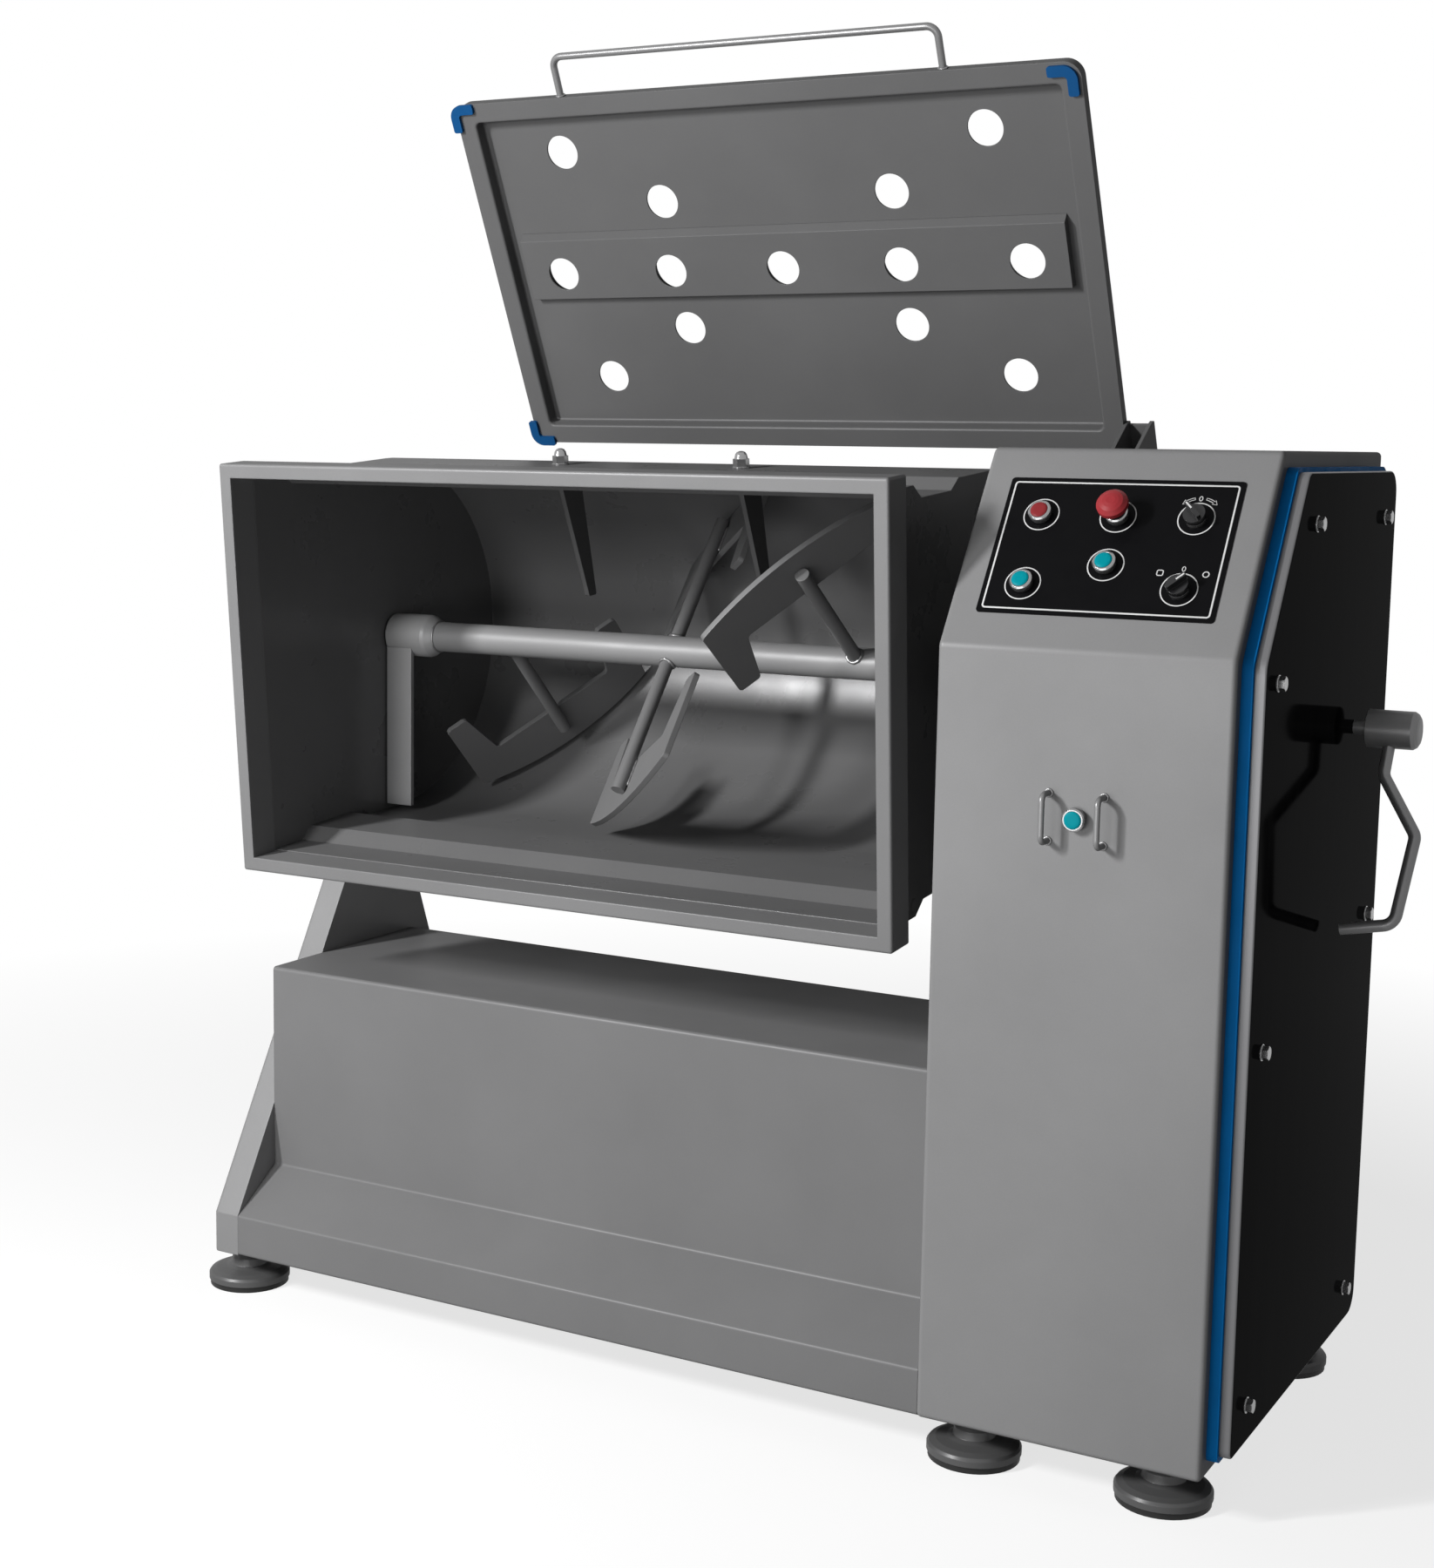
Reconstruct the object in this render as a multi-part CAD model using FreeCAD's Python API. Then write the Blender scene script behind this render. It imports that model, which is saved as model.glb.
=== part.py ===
import FreeCAD, Part
import os
from math import atan2, cos, hypot, pi, radians, sin, sqrt, tan

# Paddle mixer with a tilting trough, shown with the trough tipped forward to discharge.
# Working frame, in millimetres: X runs along the trough, with X = 0 at the drive cabinet's
# trough side; Y = 0 is the cabinet's front face and +Y goes back; Z = 0 is the floor.
# At the end everything moves so that the origin is the bottom centre of the whole machine.

# Drive cabinet
cab_width = 400.0
cab_depth = 703.0
cab_bottom = 64.0
cab_knee = 1133.6
cab_top = 1392.0
panel_angle = 34.3
sheet = 3.0
edge_round = 7.0
bend_round = 14.0
service_margin = 125.0

# Service cover on the cabinet's right side
gasket_thick = 15.0
gasket_inset = 21.0
gasket_width = 26.0
cover_inset = 27.0
cover_depth = 15.0
cover_sheet = 2.5
cover_corner = 34.0
cover_front_round = 12.0
cover_knee_round = 30.0
cover_top_round = 20.0
bolt_radius = 5.0
bolt_af = 17.0
bolt_head = 9.0
bolt_hole_gap = 0.4
bolt_places = ((233.0, 1298.0), (80.0, 1101.0), (85.0, 623.0), (91.0, 146.0),
               (cab_depth - 92.0, 1299.0), (cab_depth - 85.0, 716.0), (cab_depth - 103.0, 147.0))

# Trough and the axis that it tilts on
axis_y = cab_depth - 309.0
axis_z = 1060.0
rest_tilt = 94.65
trough_left = -1175.0
trough_right = -79.0
trough_radius = 300.0
wall_top = 128.0
neck_low = 155.0
neck_half = 284.0
neck_high = 258.0
collar_low = 285.0
collar_half = 303.0
flange_low = 352.0
flange_high = 407.0
flange_half = 324.0
flange_face = 22.0
flange_round = 4.0

# Trunnions and their bearings
trunnion_radius = 42.0
trunnion_bore = 34.0
trunnion_disc = 75.0
trunnion_disc_thick = 8.0
running_gap = 0.05
bearing_radius = 70.0
bearing_length = 42.0
seal_length = 18.0

# Mixing shaft, paddles and wiper
shaft_radius = 25.0
hub_radius = 36.0
hub_left = trough_left + 5.5
hub_length = 72.0
hub_taper = 16.0
paddle_reach = 285.0
paddle_half = 172.0
paddle_inner = 200.0
paddle_inner_half = 115.0
hook_low = 105.0
hook_width = 38.0
paddle_thick = 9.0
paddle_round = 8.0
spoke_radius = 11.0
wiper_width = 50.0
wiper_thick = 8.0
wiper_reach = 290.0
wiper_forward = 26.0

# Fixed knives on the trough wall
knife_places = (-790.0, -465.0)
knife_thick = 8.0
knife_root = (8.0, 72.0)
knife_tip_depth = 216.0
knife_tip = (-34.0, -12.0)
knife_stud_radius = 7.0
knife_stud_v = 56.0
nut_af = 22.0
nut_hex_high = 12.0
nut_high = 26.0

# Left column and the base between column and cabinet
column_right = -1205.0
column_thick = 50.0
column_front = 5.0
column_back = cab_depth - 13.0
column_shoulder = 670.0
column_half = 85.0
column_round = 8.0
column_bore = 60.0
sill_high = 130.0
slope_back = 100.0
slope_high = 195.0
base_top = 528.0
base_back = axis_y + 96.0
cap_depth = 30.0
cap_radius = 76.0

# Levelling feet
rear_feet = cab_depth - 77.0
foot_places = ((62.0, 64.0), (331.0, 70.0), (338.0, rear_feet), (62.0, rear_feet),
               (-1230.0, 64.0), (-1230.0, rear_feet))
foot_radius = 66.0
pad_high = 9.0
disc_high = 40.0
stem_radius = 12.0
stem_above = 30.0

# Lid
hinge_y = cab_depth + 27.0
hinge_z = 1309.6
lid_left = trough_left - 18.0
lid_right = -50.0
lid_length = 645.0
lid_back = hinge_y - 9.0
lid_sheet = 3.0
lid_dish = 25.0
lid_band = 35.0
lid_lip = 18.0
lid_corner = 28.0
lid_open = 64.1
lid_pad = 6.0
lid_gap = 0.5
lid_bend = 4.0
lid_hole = 30.0
lid_hole_behind = 37.0
lid_holes = ((326.0, (0.0, 218.0, 438.0)), (446.0, (215.0,)), (542.0, (392.0,)),
             (214.0, (213.0,)), (122.0, (393.0,)))
lid_holes_offset = 3.0
channel_half = 511.0
channel_low = 279.0
channel_high = 388.0
channel_foot = 398.0
channel_stand = 15.0
hinge_radius = 15.0
arm_plate = 6.0
arm_gap = 4.0
arm_reach = 46.0
bearing_block = 40.0
handle_half = 351.0
handle_offset = -5.0
handle_reach = 67.0
handle_radius = 6.0
handle_bend = 18.0
pad_leg = 48.0
pad_width = 17.0
pad_inset = 5.0
pad_outset = 8.0
pad_behind = 4.0

# Controls on the sloping panel, placed by X and by distance up the slope
overlay_left = 40.0
overlay_low = 51.0
overlay_size = (320.0, 212.0)
overlay_thick = 1.5
control_columns = (95.0, 201.0, 305.5)
start_s = 97.0
manual_s = 130.0
upper_s = 204.5
selector_low_s = 97.5
button_radius = 9.6
button_gap = 0.3
button_cap = 11.5
button_cap_low = 6.8
button_high = 14.5
bezel_radius = 15.5
bezel_high = 12.5
bezel_foot = 4.0
bezel_shelf = 3.0
bezel_tube = 11.0
bezel_depth = 25.0
plunger_depth = 13.0
mushroom_radius = 21.0
mushroom_low = 22.0
mushroom_high = 41.0
mushroom_socket = 6.0
selector_bezel_high = 6.0
selector_radius = 14.5
selector_drum = 8.0
selector_high = 24.0
selector_bar = 6.0
block_side = 30.0
block_length = 36.0

# Tilt button low on the front face, between two guard loops
tilt_button_x = 199.0
tilt_button_z = 917.0
guard_half = 37.5
guard_span = 63.0
guard_radius = 4.0
guard_stand = 26.0
guard_bend = 10.0

# Swinging lever on the service cover
lever_y = axis_y + 96.0
lever_z = 1006.0
lever_swing = 18.0
lever_spindle = 9.0
lever_neck = 20.0
lever_boss_radius = 27.0
lever_boss_end = 92.0
lever_rod = 8.5
lever_bend = 20.0
lever_path = ((52.0, 14.0), (49.0, 66.0), (102.0, 148.0), (88.0, 274.0), (16.0, 288.0))

# Tilt drive: a toothed sector on the right trunnion and its pinion
gear_module = 5.0
gear_teeth = 60
pinion_teeth = 15
gear_width = 20.0
gear_left = 50.0
gear_backlash = 0.35
gear_sector = (195.0, 320.0)
pinion_angle = 210.0
sector_window = 22.0
sector_window_at = 100.0
sector_window_step = 40.0
pinion_bore = 14.0
pressure_angle = 20.0

# Motors, gearboxes and the plate that carries them
plate_x = 296.0
plate_thick = 6.0
plate_front = 130.0
plate_back = cab_depth - 83.0
plate_top = 1250.0
mixer_box_left = 150.0
mixer_box = (95.0, 100.0)
mixer_motor_radius = 70.0
mixer_motor_length = 300.0
tilt_box_left = 84.0
tilt_box_half = 52.0
tilt_motor_radius = 50.0
tilt_motor_length = 210.0

# Electrical parts in the cabinet's lower back
gear_plate = (60.0, 200.0, 340.0, 560.0)
gear_plate_thick = 3.0
contactor_size = (45.0, 75.0, 80.0)
contactor_count = 5
gland_x = 200.0
gland_z = 150.0
gland_af = 36.0
gland_hex = 12.0
gland_dome = 20.0
gland_bore = 9.0
gland_thread = 16.0

os.makedirs("parts", exist_ok=True)
V = FreeCAD.Vector
along_x = V(1, 0, 0)
axis_point = V(0, axis_y, axis_z)
hinge_point = V(0, hinge_y, hinge_z)
panel_up = V(0, sin(radians(panel_angle)), cos(radians(panel_angle)))
panel_out = V(0, -cos(radians(panel_angle)), sin(radians(panel_angle)))
pieces = {}


def box(low, high):
    return Part.makeBox(high[0] - low[0], high[1] - low[1], high[2] - low[2], V(*low))


def rod(start, direction, radius, length):
    return Part.makeCylinder(radius, length, start, direction)


def ring(start, direction, outer, inner, length):
    return rod(start, direction, outer, length).cut(rod(start, direction, inner, length))


def outline(points, rounds):
    """A closed wire through the points, each corner rounded by its own radius."""
    count = len(points)
    if not hasattr(rounds, "__len__"):
        rounds = [rounds] * count
    ends = []
    for i in range(count):
        here = points[i]
        before = (points[i - 1] - here).normalize()
        after = (points[(i + 1) % count] - here).normalize()
        half = before.getAngle(after) / 2
        if rounds[i] <= 0:
            ends.append((here, None, here))
            continue
        back = rounds[i] / tan(half)
        bisector = (before + after).normalize()
        middle = here + bisector * (rounds[i] / sin(half) - rounds[i])
        ends.append((here + before * back, middle, here + after * back))
    edges = []
    for i in range(count):
        first, middle, last = ends[i]
        if middle is not None:
            edges.append(Part.Arc(first, middle, last).toShape())
        following = ends[(i + 1) % count][0]
        if (following - last).Length > 1e-6:
            edges.append(Part.LineSegment(last, following).toShape())
    return Part.Wire(edges)


def slab_x(points, x0, x1, rounds=0):
    """A flat outline of (Y, Z) points, carried along X from x0 to x1."""
    wire = outline([V(x0, y, z) for y, z in points], rounds)
    return Part.Face(wire).extrude(V(x1 - x0, 0, 0))


def inset(points, distance):
    """The same convex outline, each side moved inwards by the distance."""
    count = len(points)
    area = sum(points[i - 1][0] * points[i][1] - points[i][0] * points[i - 1][1] for i in range(count))
    turn = 1 if area > 0 else -1
    lines = []
    for i in range(count):
        (y0, z0), (y1, z1) = points[i], points[(i + 1) % count]
        length = hypot(y1 - y0, z1 - z0)
        normal = (-(z1 - z0) / length * turn, (y1 - y0) / length * turn)
        lines.append((normal, normal[0] * y0 + normal[1] * z0 + distance))
    moved = []
    for i in range(count):
        (a, b), c = lines[i - 1]
        (d, e), f = lines[i]
        det = a * e - b * d
        moved.append(((c * e - b * f) / det, (a * f - c * d) / det))
    return moved


def revolved(start, direction, profile):
    """A solid of revolution from (distance along the axis, radius) points."""
    side = V(0, 0, 1) if abs(direction.z) < 0.9 else V(0, 1, 0)
    side = (side - direction * side.dot(direction)).normalize()
    points = [start + direction * along + side * radius for along, radius in profile]
    wire = Part.makePolygon(points + [points[0]])
    return Part.Face(wire).revolve(start, direction, 360)


def bent_rod(points, radius, bend):
    """A round rod along straight runs joined by bends."""
    edges = []
    last = points[0]
    for i in range(1, len(points) - 1):
        here = points[i]
        before = (points[i - 1] - here).normalize()
        after = (points[i + 1] - here).normalize()
        half = before.getAngle(after) / 2
        back = bend / tan(half)
        middle = here + (before + after).normalize() * (bend / sin(half) - bend)
        first = here + before * back
        edges.append(Part.LineSegment(last, first).toShape())
        edges.append(Part.Arc(first, middle, here + after * back).toShape())
        last = here + after * back
    edges.append(Part.LineSegment(last, points[-1]).toShape())
    start = Part.Wire([Part.makeCircle(radius, points[0], points[1] - points[0])])
    return Part.Wire(edges).makePipeShell([start], True, False)


def hexagon(start, direction, flats, length, turn=0.0):
    """A hexagonal bar, its size given across the flats."""
    side = V(0, 0, 1) if abs(direction.z) < 0.9 else V(0, 1, 0)
    side = (side - direction * side.dot(direction)).normalize()
    across = direction.cross(side)
    reach = flats / 2 / cos(pi / 6)
    corners = []
    for i in range(6):
        angle = radians(60 * i + turn)
        corners.append(start + side * (reach * cos(angle)) + across * (reach * sin(angle)))
    return Part.Face(Part.makePolygon(corners + [corners[0]])).extrude(direction * length)


def turned(shape, point, degrees_about_x):
    moved = shape.copy()
    moved.rotate(point, along_x, degrees_about_x)
    return moved


def fused(shapes):
    whole = shapes[0]
    for shape in shapes[1:]:
        whole = whole.fuse(shape)
    return whole.removeSplitter()


def group(shapes):
    return Part.makeCompound(shapes)


# Cabinet

panel_run = (cab_top - cab_knee) * tan(radians(panel_angle))
cab_outline = [(0.0, cab_bottom), (0.0, cab_knee), (panel_run, cab_top),
               (cab_depth, cab_top), (cab_depth, cab_bottom)]
cab_rounds = [edge_round, bend_round, bend_round, edge_round, edge_round]


def on_panel(x, s, out=0.0):
    """A point on the sloping panel: X, distance up the slope and height above it."""
    return V(x, 0, cab_knee) + panel_up * s + panel_out * out


panel_controls = ((control_columns[0], upper_s), (control_columns[1], upper_s),
                  (control_columns[2], upper_s), (control_columns[1], manual_s),
                  (control_columns[0], start_s), (control_columns[2], selector_low_s))
tilt_button_point = V(tilt_button_x, 0, tilt_button_z)
forward = V(0, -1, 0)
control_points = [(on_panel(x, s, overlay_thick), panel_out) for x, s in panel_controls]
control_points.append((tilt_button_point, forward))


def make_cabinet():
    body = slab_x(cab_outline, 0, cab_width, cab_rounds)
    around = [edge for edge in body.Edges
              if abs(edge.BoundBox.XMin - edge.BoundBox.XMax) < 1e-6]
    body = body.makeFillet(edge_round, around)
    body = body.cut(slab_x(inset(cab_outline, sheet), sheet, cab_width - sheet, edge_round - sheet))
    body = body.cut(slab_x(inset(cab_outline, service_margin), cab_width - 2 * sheet,
                           cab_width + sheet, edge_round))
    holes = [rod(V(-sheet, axis_y, axis_z), along_x, trunnion_radius + 2, 3 * sheet)]
    for point, out in control_points:
        holes.append(rod(point - out * (overlay_thick + 2 * sheet), out, bezel_tube, 4 * sheet))
    for y, z in bolt_places:
        holes.append(rod(V(cab_width - 2 * sheet, y, z), along_x, bolt_radius, 3 * sheet))
    for x, y in foot_places:
        if x > 0:
            holes.append(rod(V(x, y, cab_bottom - sheet), V(0, 0, 1), stem_radius, 3 * sheet))
    holes.append(rod(V(gland_x, cab_depth - 2 * sheet, gland_z), V(0, 1, 0), gland_thread, 3 * sheet))
    return body.cut(group(holes))


cover_rounds = [cover_front_round, cover_knee_round, cover_top_round, cover_corner, cover_corner]


def make_gasket():
    outer = slab_x(inset(cab_outline, gasket_inset), cab_width, cab_width + gasket_thick, cover_rounds)
    inner = slab_x(inset(cab_outline, gasket_inset + gasket_width), cab_width - 1,
                   cab_width + gasket_thick + 1, cover_front_round)
    return outer.cut(inner)


def make_cover():
    back = cab_width + gasket_thick
    face = back + cover_depth
    body = slab_x(inset(cab_outline, cover_inset), back, face, cover_rounds)
    front = [edge for edge in body.Edges
             if edge.BoundBox.XMin > face - 1e-6]
    body = body.makeFillet(3.0, front)
    inner_rounds = [r - cover_sheet for r in cover_rounds]
    body = body.cut(slab_x(inset(cab_outline, cover_inset + cover_sheet), back - 1,
                           face - cover_sheet, inner_rounds))
    holes = [rod(V(back, y, z), along_x, bolt_radius + bolt_hole_gap, 2 * cover_depth)
             for y, z in bolt_places]
    holes.append(rod(V(back, lever_y, lever_z), along_x, lever_spindle + running_gap, 2 * cover_depth))
    return body.cut(group(holes))


def make_bolts():
    face = cab_width + gasket_thick + cover_depth
    solids = []
    for y, z in bolt_places:
        seat = V(face, y, z)
        shank = rod(V(cab_width - 22, y, z), along_x, bolt_radius, face - cab_width + 23)
        washer = rod(seat, along_x, 11.0, 1.6)
        head = hexagon(seat + along_x * 1.6, along_x, bolt_af, bolt_head)
        crown = revolved(seat + along_x * 1.6, along_x,
                         ((0, 0), (0, 13), (bolt_head - 3, 13), (bolt_head, 8.3), (bolt_head, 0)))
        solids.append(fused([shank, washer, head.common(crown)]))
    return group(solids)


def make_spacers():
    """Sleeves round the bolts between cabinet and cover, and the weld nuts inside."""
    solids = []
    inner_face = cab_width + gasket_thick + cover_depth - cover_sheet
    for y, z in bolt_places:
        solids.append(ring(V(cab_width, y, z), along_x, 9.0, bolt_radius, inner_face - cab_width))
        nut = hexagon(V(cab_width - sheet - 12, y, z), along_x, bolt_af, 12.0)
        solids.append(nut.cut(rod(V(cab_width - 30, y, z), along_x, bolt_radius, 40)))
    return group(solids)


pieces["cabinet_shell"] = make_cabinet()
pieces["side_gasket"] = make_gasket()
pieces["side_cover"] = make_cover()
pieces["cover_bolts"] = make_bolts()
pieces["cover_spacers"] = make_spacers()

# Controls


def panel_slab(x0, s0, width, height, low, high, corner):
    corners = [on_panel(x0, s0, low), on_panel(x0 + width, s0, low),
               on_panel(x0 + width, s0 + height, low), on_panel(x0, s0 + height, low)]
    return Part.Face(outline(corners, corner)).extrude(panel_out * (high - low))


def make_overlay():
    plate = panel_slab(overlay_left, overlay_low, overlay_size[0], overlay_size[1],
                       0, overlay_thick, 5.0)
    holes = [rod(point - out * 3 * overlay_thick, out, bezel_tube, 5 * overlay_thick)
             for point, out in control_points[:-1]]
    return plate.cut(group(holes))


def bezel(point, out, bore, high):
    """A round rim on the panel with its threaded tube and back nut."""
    foot = bezel_radius - 1.5
    wide = button_cap + button_gap
    profile = [(0, bore), (0, foot)]
    if high > bezel_foot + 3:
        profile += [(bezel_foot, foot), (bezel_foot, bezel_radius)]
    profile += [(high - 1.5, bezel_radius if high > bezel_foot + 3 else foot), (high, foot - 0.5)]
    profile += [(high, wide), (bezel_shelf, wide), (bezel_shelf, bore)]
    collar = revolved(point, out, profile)
    tube = ring(point - out * bezel_depth, out, bezel_tube, bore, bezel_depth)
    panel_back = sheet + (overlay_thick if out is not forward else 0)
    nut = hexagon(point - out * (panel_back + 5), out, 30.0, 5.0)
    nut = nut.cut(rod(point - out * bezel_depth, out, bezel_tube, 2 * bezel_depth))
    return [fused([collar, tube]), nut]


def make_bezels():
    solids = []
    for point, out in control_points:
        turns = point in (selector_one_at, selector_two_at)
        high = selector_bezel_high if turns else bezel_high
        solids += bezel(point, out, button_radius + button_gap, high)
    return group(solids)


def make_contacts():
    """One contact block behind each control, against the end of its tube."""
    solids = []
    for point, out in control_points:
        across = out.cross(along_x).normalize()
        corner = point - out * (bezel_depth + block_length) - (along_x + across) * (block_side / 2)
        base = [corner, corner + along_x * block_side,
                corner + (along_x + across) * block_side, corner + across * block_side]
        solids.append(Part.Face(outline(base, 2.0)).extrude(out * block_length))
    return group(solids)


def push_button(point, out):
    """A domed cap on its plunger, sliding in the bezel down to its shelf."""
    return revolved(point, out,
                    ((-plunger_depth, 0), (-plunger_depth, button_radius), (button_cap_low, button_radius),
                     (button_cap_low, button_cap), (button_high - 1.5, button_cap),
                     (button_high - 0.4, button_cap - 2), (button_high, button_cap - 5),
                     (button_high, 0)))


def make_mushroom(point, out):
    """The wide red cap, with a grooved rim to grip."""
    low = mushroom_low
    high = mushroom_high
    r = mushroom_radius
    cap = revolved(point, out, ((low, 0), (low, r - 6), (low + 5, r), (low + 11, r),
                                (high - 3, r - 5), (high - 1, r - 10), (high, r - 15), (high, 0)))
    return cap.cut(rod(point + out * (low - 1), out, mushroom_socket, 5.0))


def make_mushroom_stem(point, out):
    stem = rod(point - out * plunger_depth, out, button_radius,
               mushroom_low - button_gap + plunger_depth)
    pin = rod(point + out * (mushroom_low - button_gap), out, mushroom_socket - button_gap, 4.0)
    return fused([stem, pin])


def make_selector(point, out, angle):
    """A round knob with a raised grip bar, turned to its marked position."""
    seat = selector_bezel_high + button_gap
    drum = rod(point + out * seat, out, selector_radius, selector_drum)
    spindle = rod(point - out * plunger_depth, out, button_radius, plunger_depth + seat)
    base = seat + selector_drum - 1
    up = panel_up
    low_corner = point + out * base - along_x * (selector_bar / 2) - up * selector_radius
    bar = [low_corner, low_corner + along_x * selector_bar,
           low_corner + along_x * selector_bar + up * (2 * selector_radius + 1),
           low_corner + up * (2 * selector_radius + 1)]
    grip = Part.Face(outline(bar, 1.8)).extrude(out * (selector_high - base))
    knob = fused([drum, spindle, grip])
    knob.rotate(point, out, angle)
    return knob


def make_guards():
    """Two round loops that keep knees off the tilt button."""
    solids = []
    for side in (-1, 1):
        x = tilt_button_x + side * guard_half
        low = tilt_button_z - guard_span / 2
        high = tilt_button_z + guard_span / 2
        path = [V(x, 0, low), V(x, -guard_stand, low), V(x, -guard_stand, high), V(x, 0, high)]
        solids.append(bent_rod(path, guard_radius, guard_bend))
    return group(solids)


stop_at, mushroom_at, selector_one_at, manual_at, start_at, selector_two_at, tilt_at = [
    point for point, out in control_points]
pieces["control_overlay"] = make_overlay()
pieces["control_bezels"] = make_bezels()
pieces["switch_contacts"] = make_contacts()
pieces["button_guards"] = make_guards()
pieces["stop_button"] = push_button(stop_at, panel_out)
pieces["manual_button"] = push_button(manual_at, panel_out)
pieces["start_button"] = push_button(start_at, panel_out)
pieces["tilt_button"] = push_button(tilt_at, forward)
pieces["emergency_mushroom"] = make_mushroom(mushroom_at, panel_out)
pieces["emergency_stem"] = make_mushroom_stem(mushroom_at, panel_out)
pieces["direction_selector"] = make_selector(selector_one_at, panel_out, 45.0)
pieces["mode_selector"] = make_selector(selector_two_at, panel_out, -45.0)

# Base, column and feet

base_outline = [(column_front, cab_bottom), (column_front, sill_high), (slope_back, slope_high),
                (slope_back, base_top), (base_back, base_top), (base_back, cab_bottom)]
inner_base = [(column_front + sheet, cab_bottom + sheet), (column_front + sheet, sill_high - 1),
              (slope_back + sheet, slope_high - 1), (slope_back + sheet, base_top - sheet),
              (base_back - sheet, base_top - sheet), (base_back - sheet, cab_bottom + sheet)]
column_left = column_right - column_thick


def make_base():
    outer = slab_x(base_outline, column_right, 0, [5.0, 5.0, 5.0, 6.0, 6.0, 5.0])
    return outer.cut(slab_x(inner_base, column_right - 1, 1))


def column_shape(margin, x0, x1):
    """The tapering column with its round head about the tilt axis."""
    half = column_half - margin
    low = cab_bottom + margin
    front = V(x0, axis_y - half, axis_z)
    back = V(x0, axis_y + half, axis_z)
    points = [back, V(x0, axis_y + half, column_shoulder), V(x0, column_back - margin, sill_high),
              V(x0, column_back - margin, low), V(x0, column_front + margin, low),
              V(x0, column_front + margin, sill_high), V(x0, axis_y - half, column_shoulder), front]
    edges = [Part.LineSegment(points[i], points[i + 1]).toShape() for i in range(len(points) - 1)]
    edges.append(Part.Arc(front, V(x0, axis_y, axis_z + half), back).toShape())
    return Part.Face(Part.Wire(edges)).extrude(V(x1 - x0, 0, 0))


def make_column():
    body = column_shape(0, column_left, column_right)
    rims = [edge for edge in body.Edges if edge.BoundBox.XMax < column_left + 1e-6]
    body = body.makeFillet(column_round, rims)
    hollow = column_shape(sheet, column_left + sheet, column_right - sheet)
    liner = ring(V(column_left, axis_y, axis_z), along_x, column_bore + 6, column_bore, column_thick)
    body = body.cut(hollow).fuse(liner)
    holes = [rod(V(column_left - 1, axis_y, axis_z), along_x, column_bore, column_thick + 2)]
    for x, y in foot_places:
        if x < 0:
            holes.append(rod(V(x, y, cab_bottom - sheet), V(0, 0, 1), stem_radius, 3 * sheet))
    return body.cut(group(holes)).removeSplitter()


def make_left_bearing():
    """The flanged housing in the column, bored for the left trunnion."""
    start = V(column_left - 8, axis_y, axis_z)
    outside = ((0, 0), (0, cap_radius), (8, cap_radius), (8, column_bore),
               (8 + column_thick, column_bore), (8 + column_thick, 0))
    bore = rod(start - along_x, along_x, trunnion_radius + running_gap, column_thick + 20)
    return revolved(start, along_x, outside).cut(bore)


def make_cap():
    start = V(column_left - 8, axis_y, axis_z)
    back = V(-1, 0, 0)
    outside = ((0, 0), (0, cap_radius), (cap_depth - 10, cap_radius), (cap_depth - 3, cap_radius - 4),
               (cap_depth, cap_radius - 14), (cap_depth, 0))
    hollow = rod(start + along_x, back, trunnion_radius + 8, cap_depth - 5)
    return revolved(start, back, outside).cut(hollow)


def make_right_bearing():
    """The flanged housing on the cabinet's inner wall, bored for the right trunnion."""
    start = V(sheet, axis_y, axis_z)
    outside = ((0, 0), (0, bearing_radius + 25), (10, bearing_radius + 25), (10, bearing_radius),
               (bearing_length, bearing_radius - 3), (bearing_length, 0))
    bore = rod(start - along_x, along_x, trunnion_radius + running_gap, bearing_length + 2)
    return revolved(start, along_x, outside).cut(bore)


def make_foot_pads():
    return group([rod(V(x, y, 0), V(0, 0, 1), foot_radius - 2, pad_high) for x, y in foot_places])


def make_foot_discs():
    r = foot_radius
    top = pad_high + disc_high
    profile = ((pad_high, 0), (pad_high, r), (pad_high + 9, r), (pad_high + 13, r - 3),
               (pad_high + 17, r - 12), (pad_high + 20, r - 28), (pad_high + 23, r - 36),
               (top - 6, r - 38), (top, r - 42), (top, 0))
    return group([revolved(V(x, y, 0), V(0, 0, 1), profile) for x, y in foot_places])


def make_foot_stems():
    top = pad_high + disc_high
    solids = []
    for x, y in foot_places:
        stem = rod(V(x, y, top), V(0, 0, 1), stem_radius, cab_bottom - top + stem_above)
        nut = hexagon(V(x, y, cab_bottom - 10), V(0, 0, 1), 36.0, 10.0)
        solids.append(fused([stem, nut]))
    return group(solids)


pieces["base_housing"] = make_base()
pieces["left_column"] = make_column()
pieces["left_bearing"] = make_left_bearing()
pieces["bearing_cap"] = make_cap()
pieces["right_bearing"] = make_right_bearing()
pieces["foot_pads"] = make_foot_pads()
pieces["foot_discs"] = make_foot_discs()
pieces["foot_stems"] = make_foot_stems()

# Trough, modelled upright and then tipped to its discharge position


def trough_section(thin, x0, x1, high):
    """The trough's section: a round bottom, straight walls, a narrower neck and a collar."""
    r = trough_radius - thin
    neck = neck_half - thin
    collar = collar_half - thin
    side = [(r, 0), (r, wall_top), (neck, neck_low), (neck, neck_high), (collar, collar_low),
            (collar, high)]
    right = [V(x0, axis_y + u, axis_z + v) for u, v in side]
    left = [V(x0, axis_y - u, axis_z + v) for u, v in reversed(side)]
    points = right + left
    edges = [Part.LineSegment(points[i], points[i + 1]).toShape() for i in range(len(points) - 1)]
    edges.append(Part.Arc(points[-1], V(x0, axis_y, axis_z - r), points[0]).toShape())
    return Part.Face(Part.Wire(edges)).extrude(V(x1 - x0, 0, 0))


def tipped(shape):
    return turned(shape, axis_point, rest_tilt)


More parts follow.
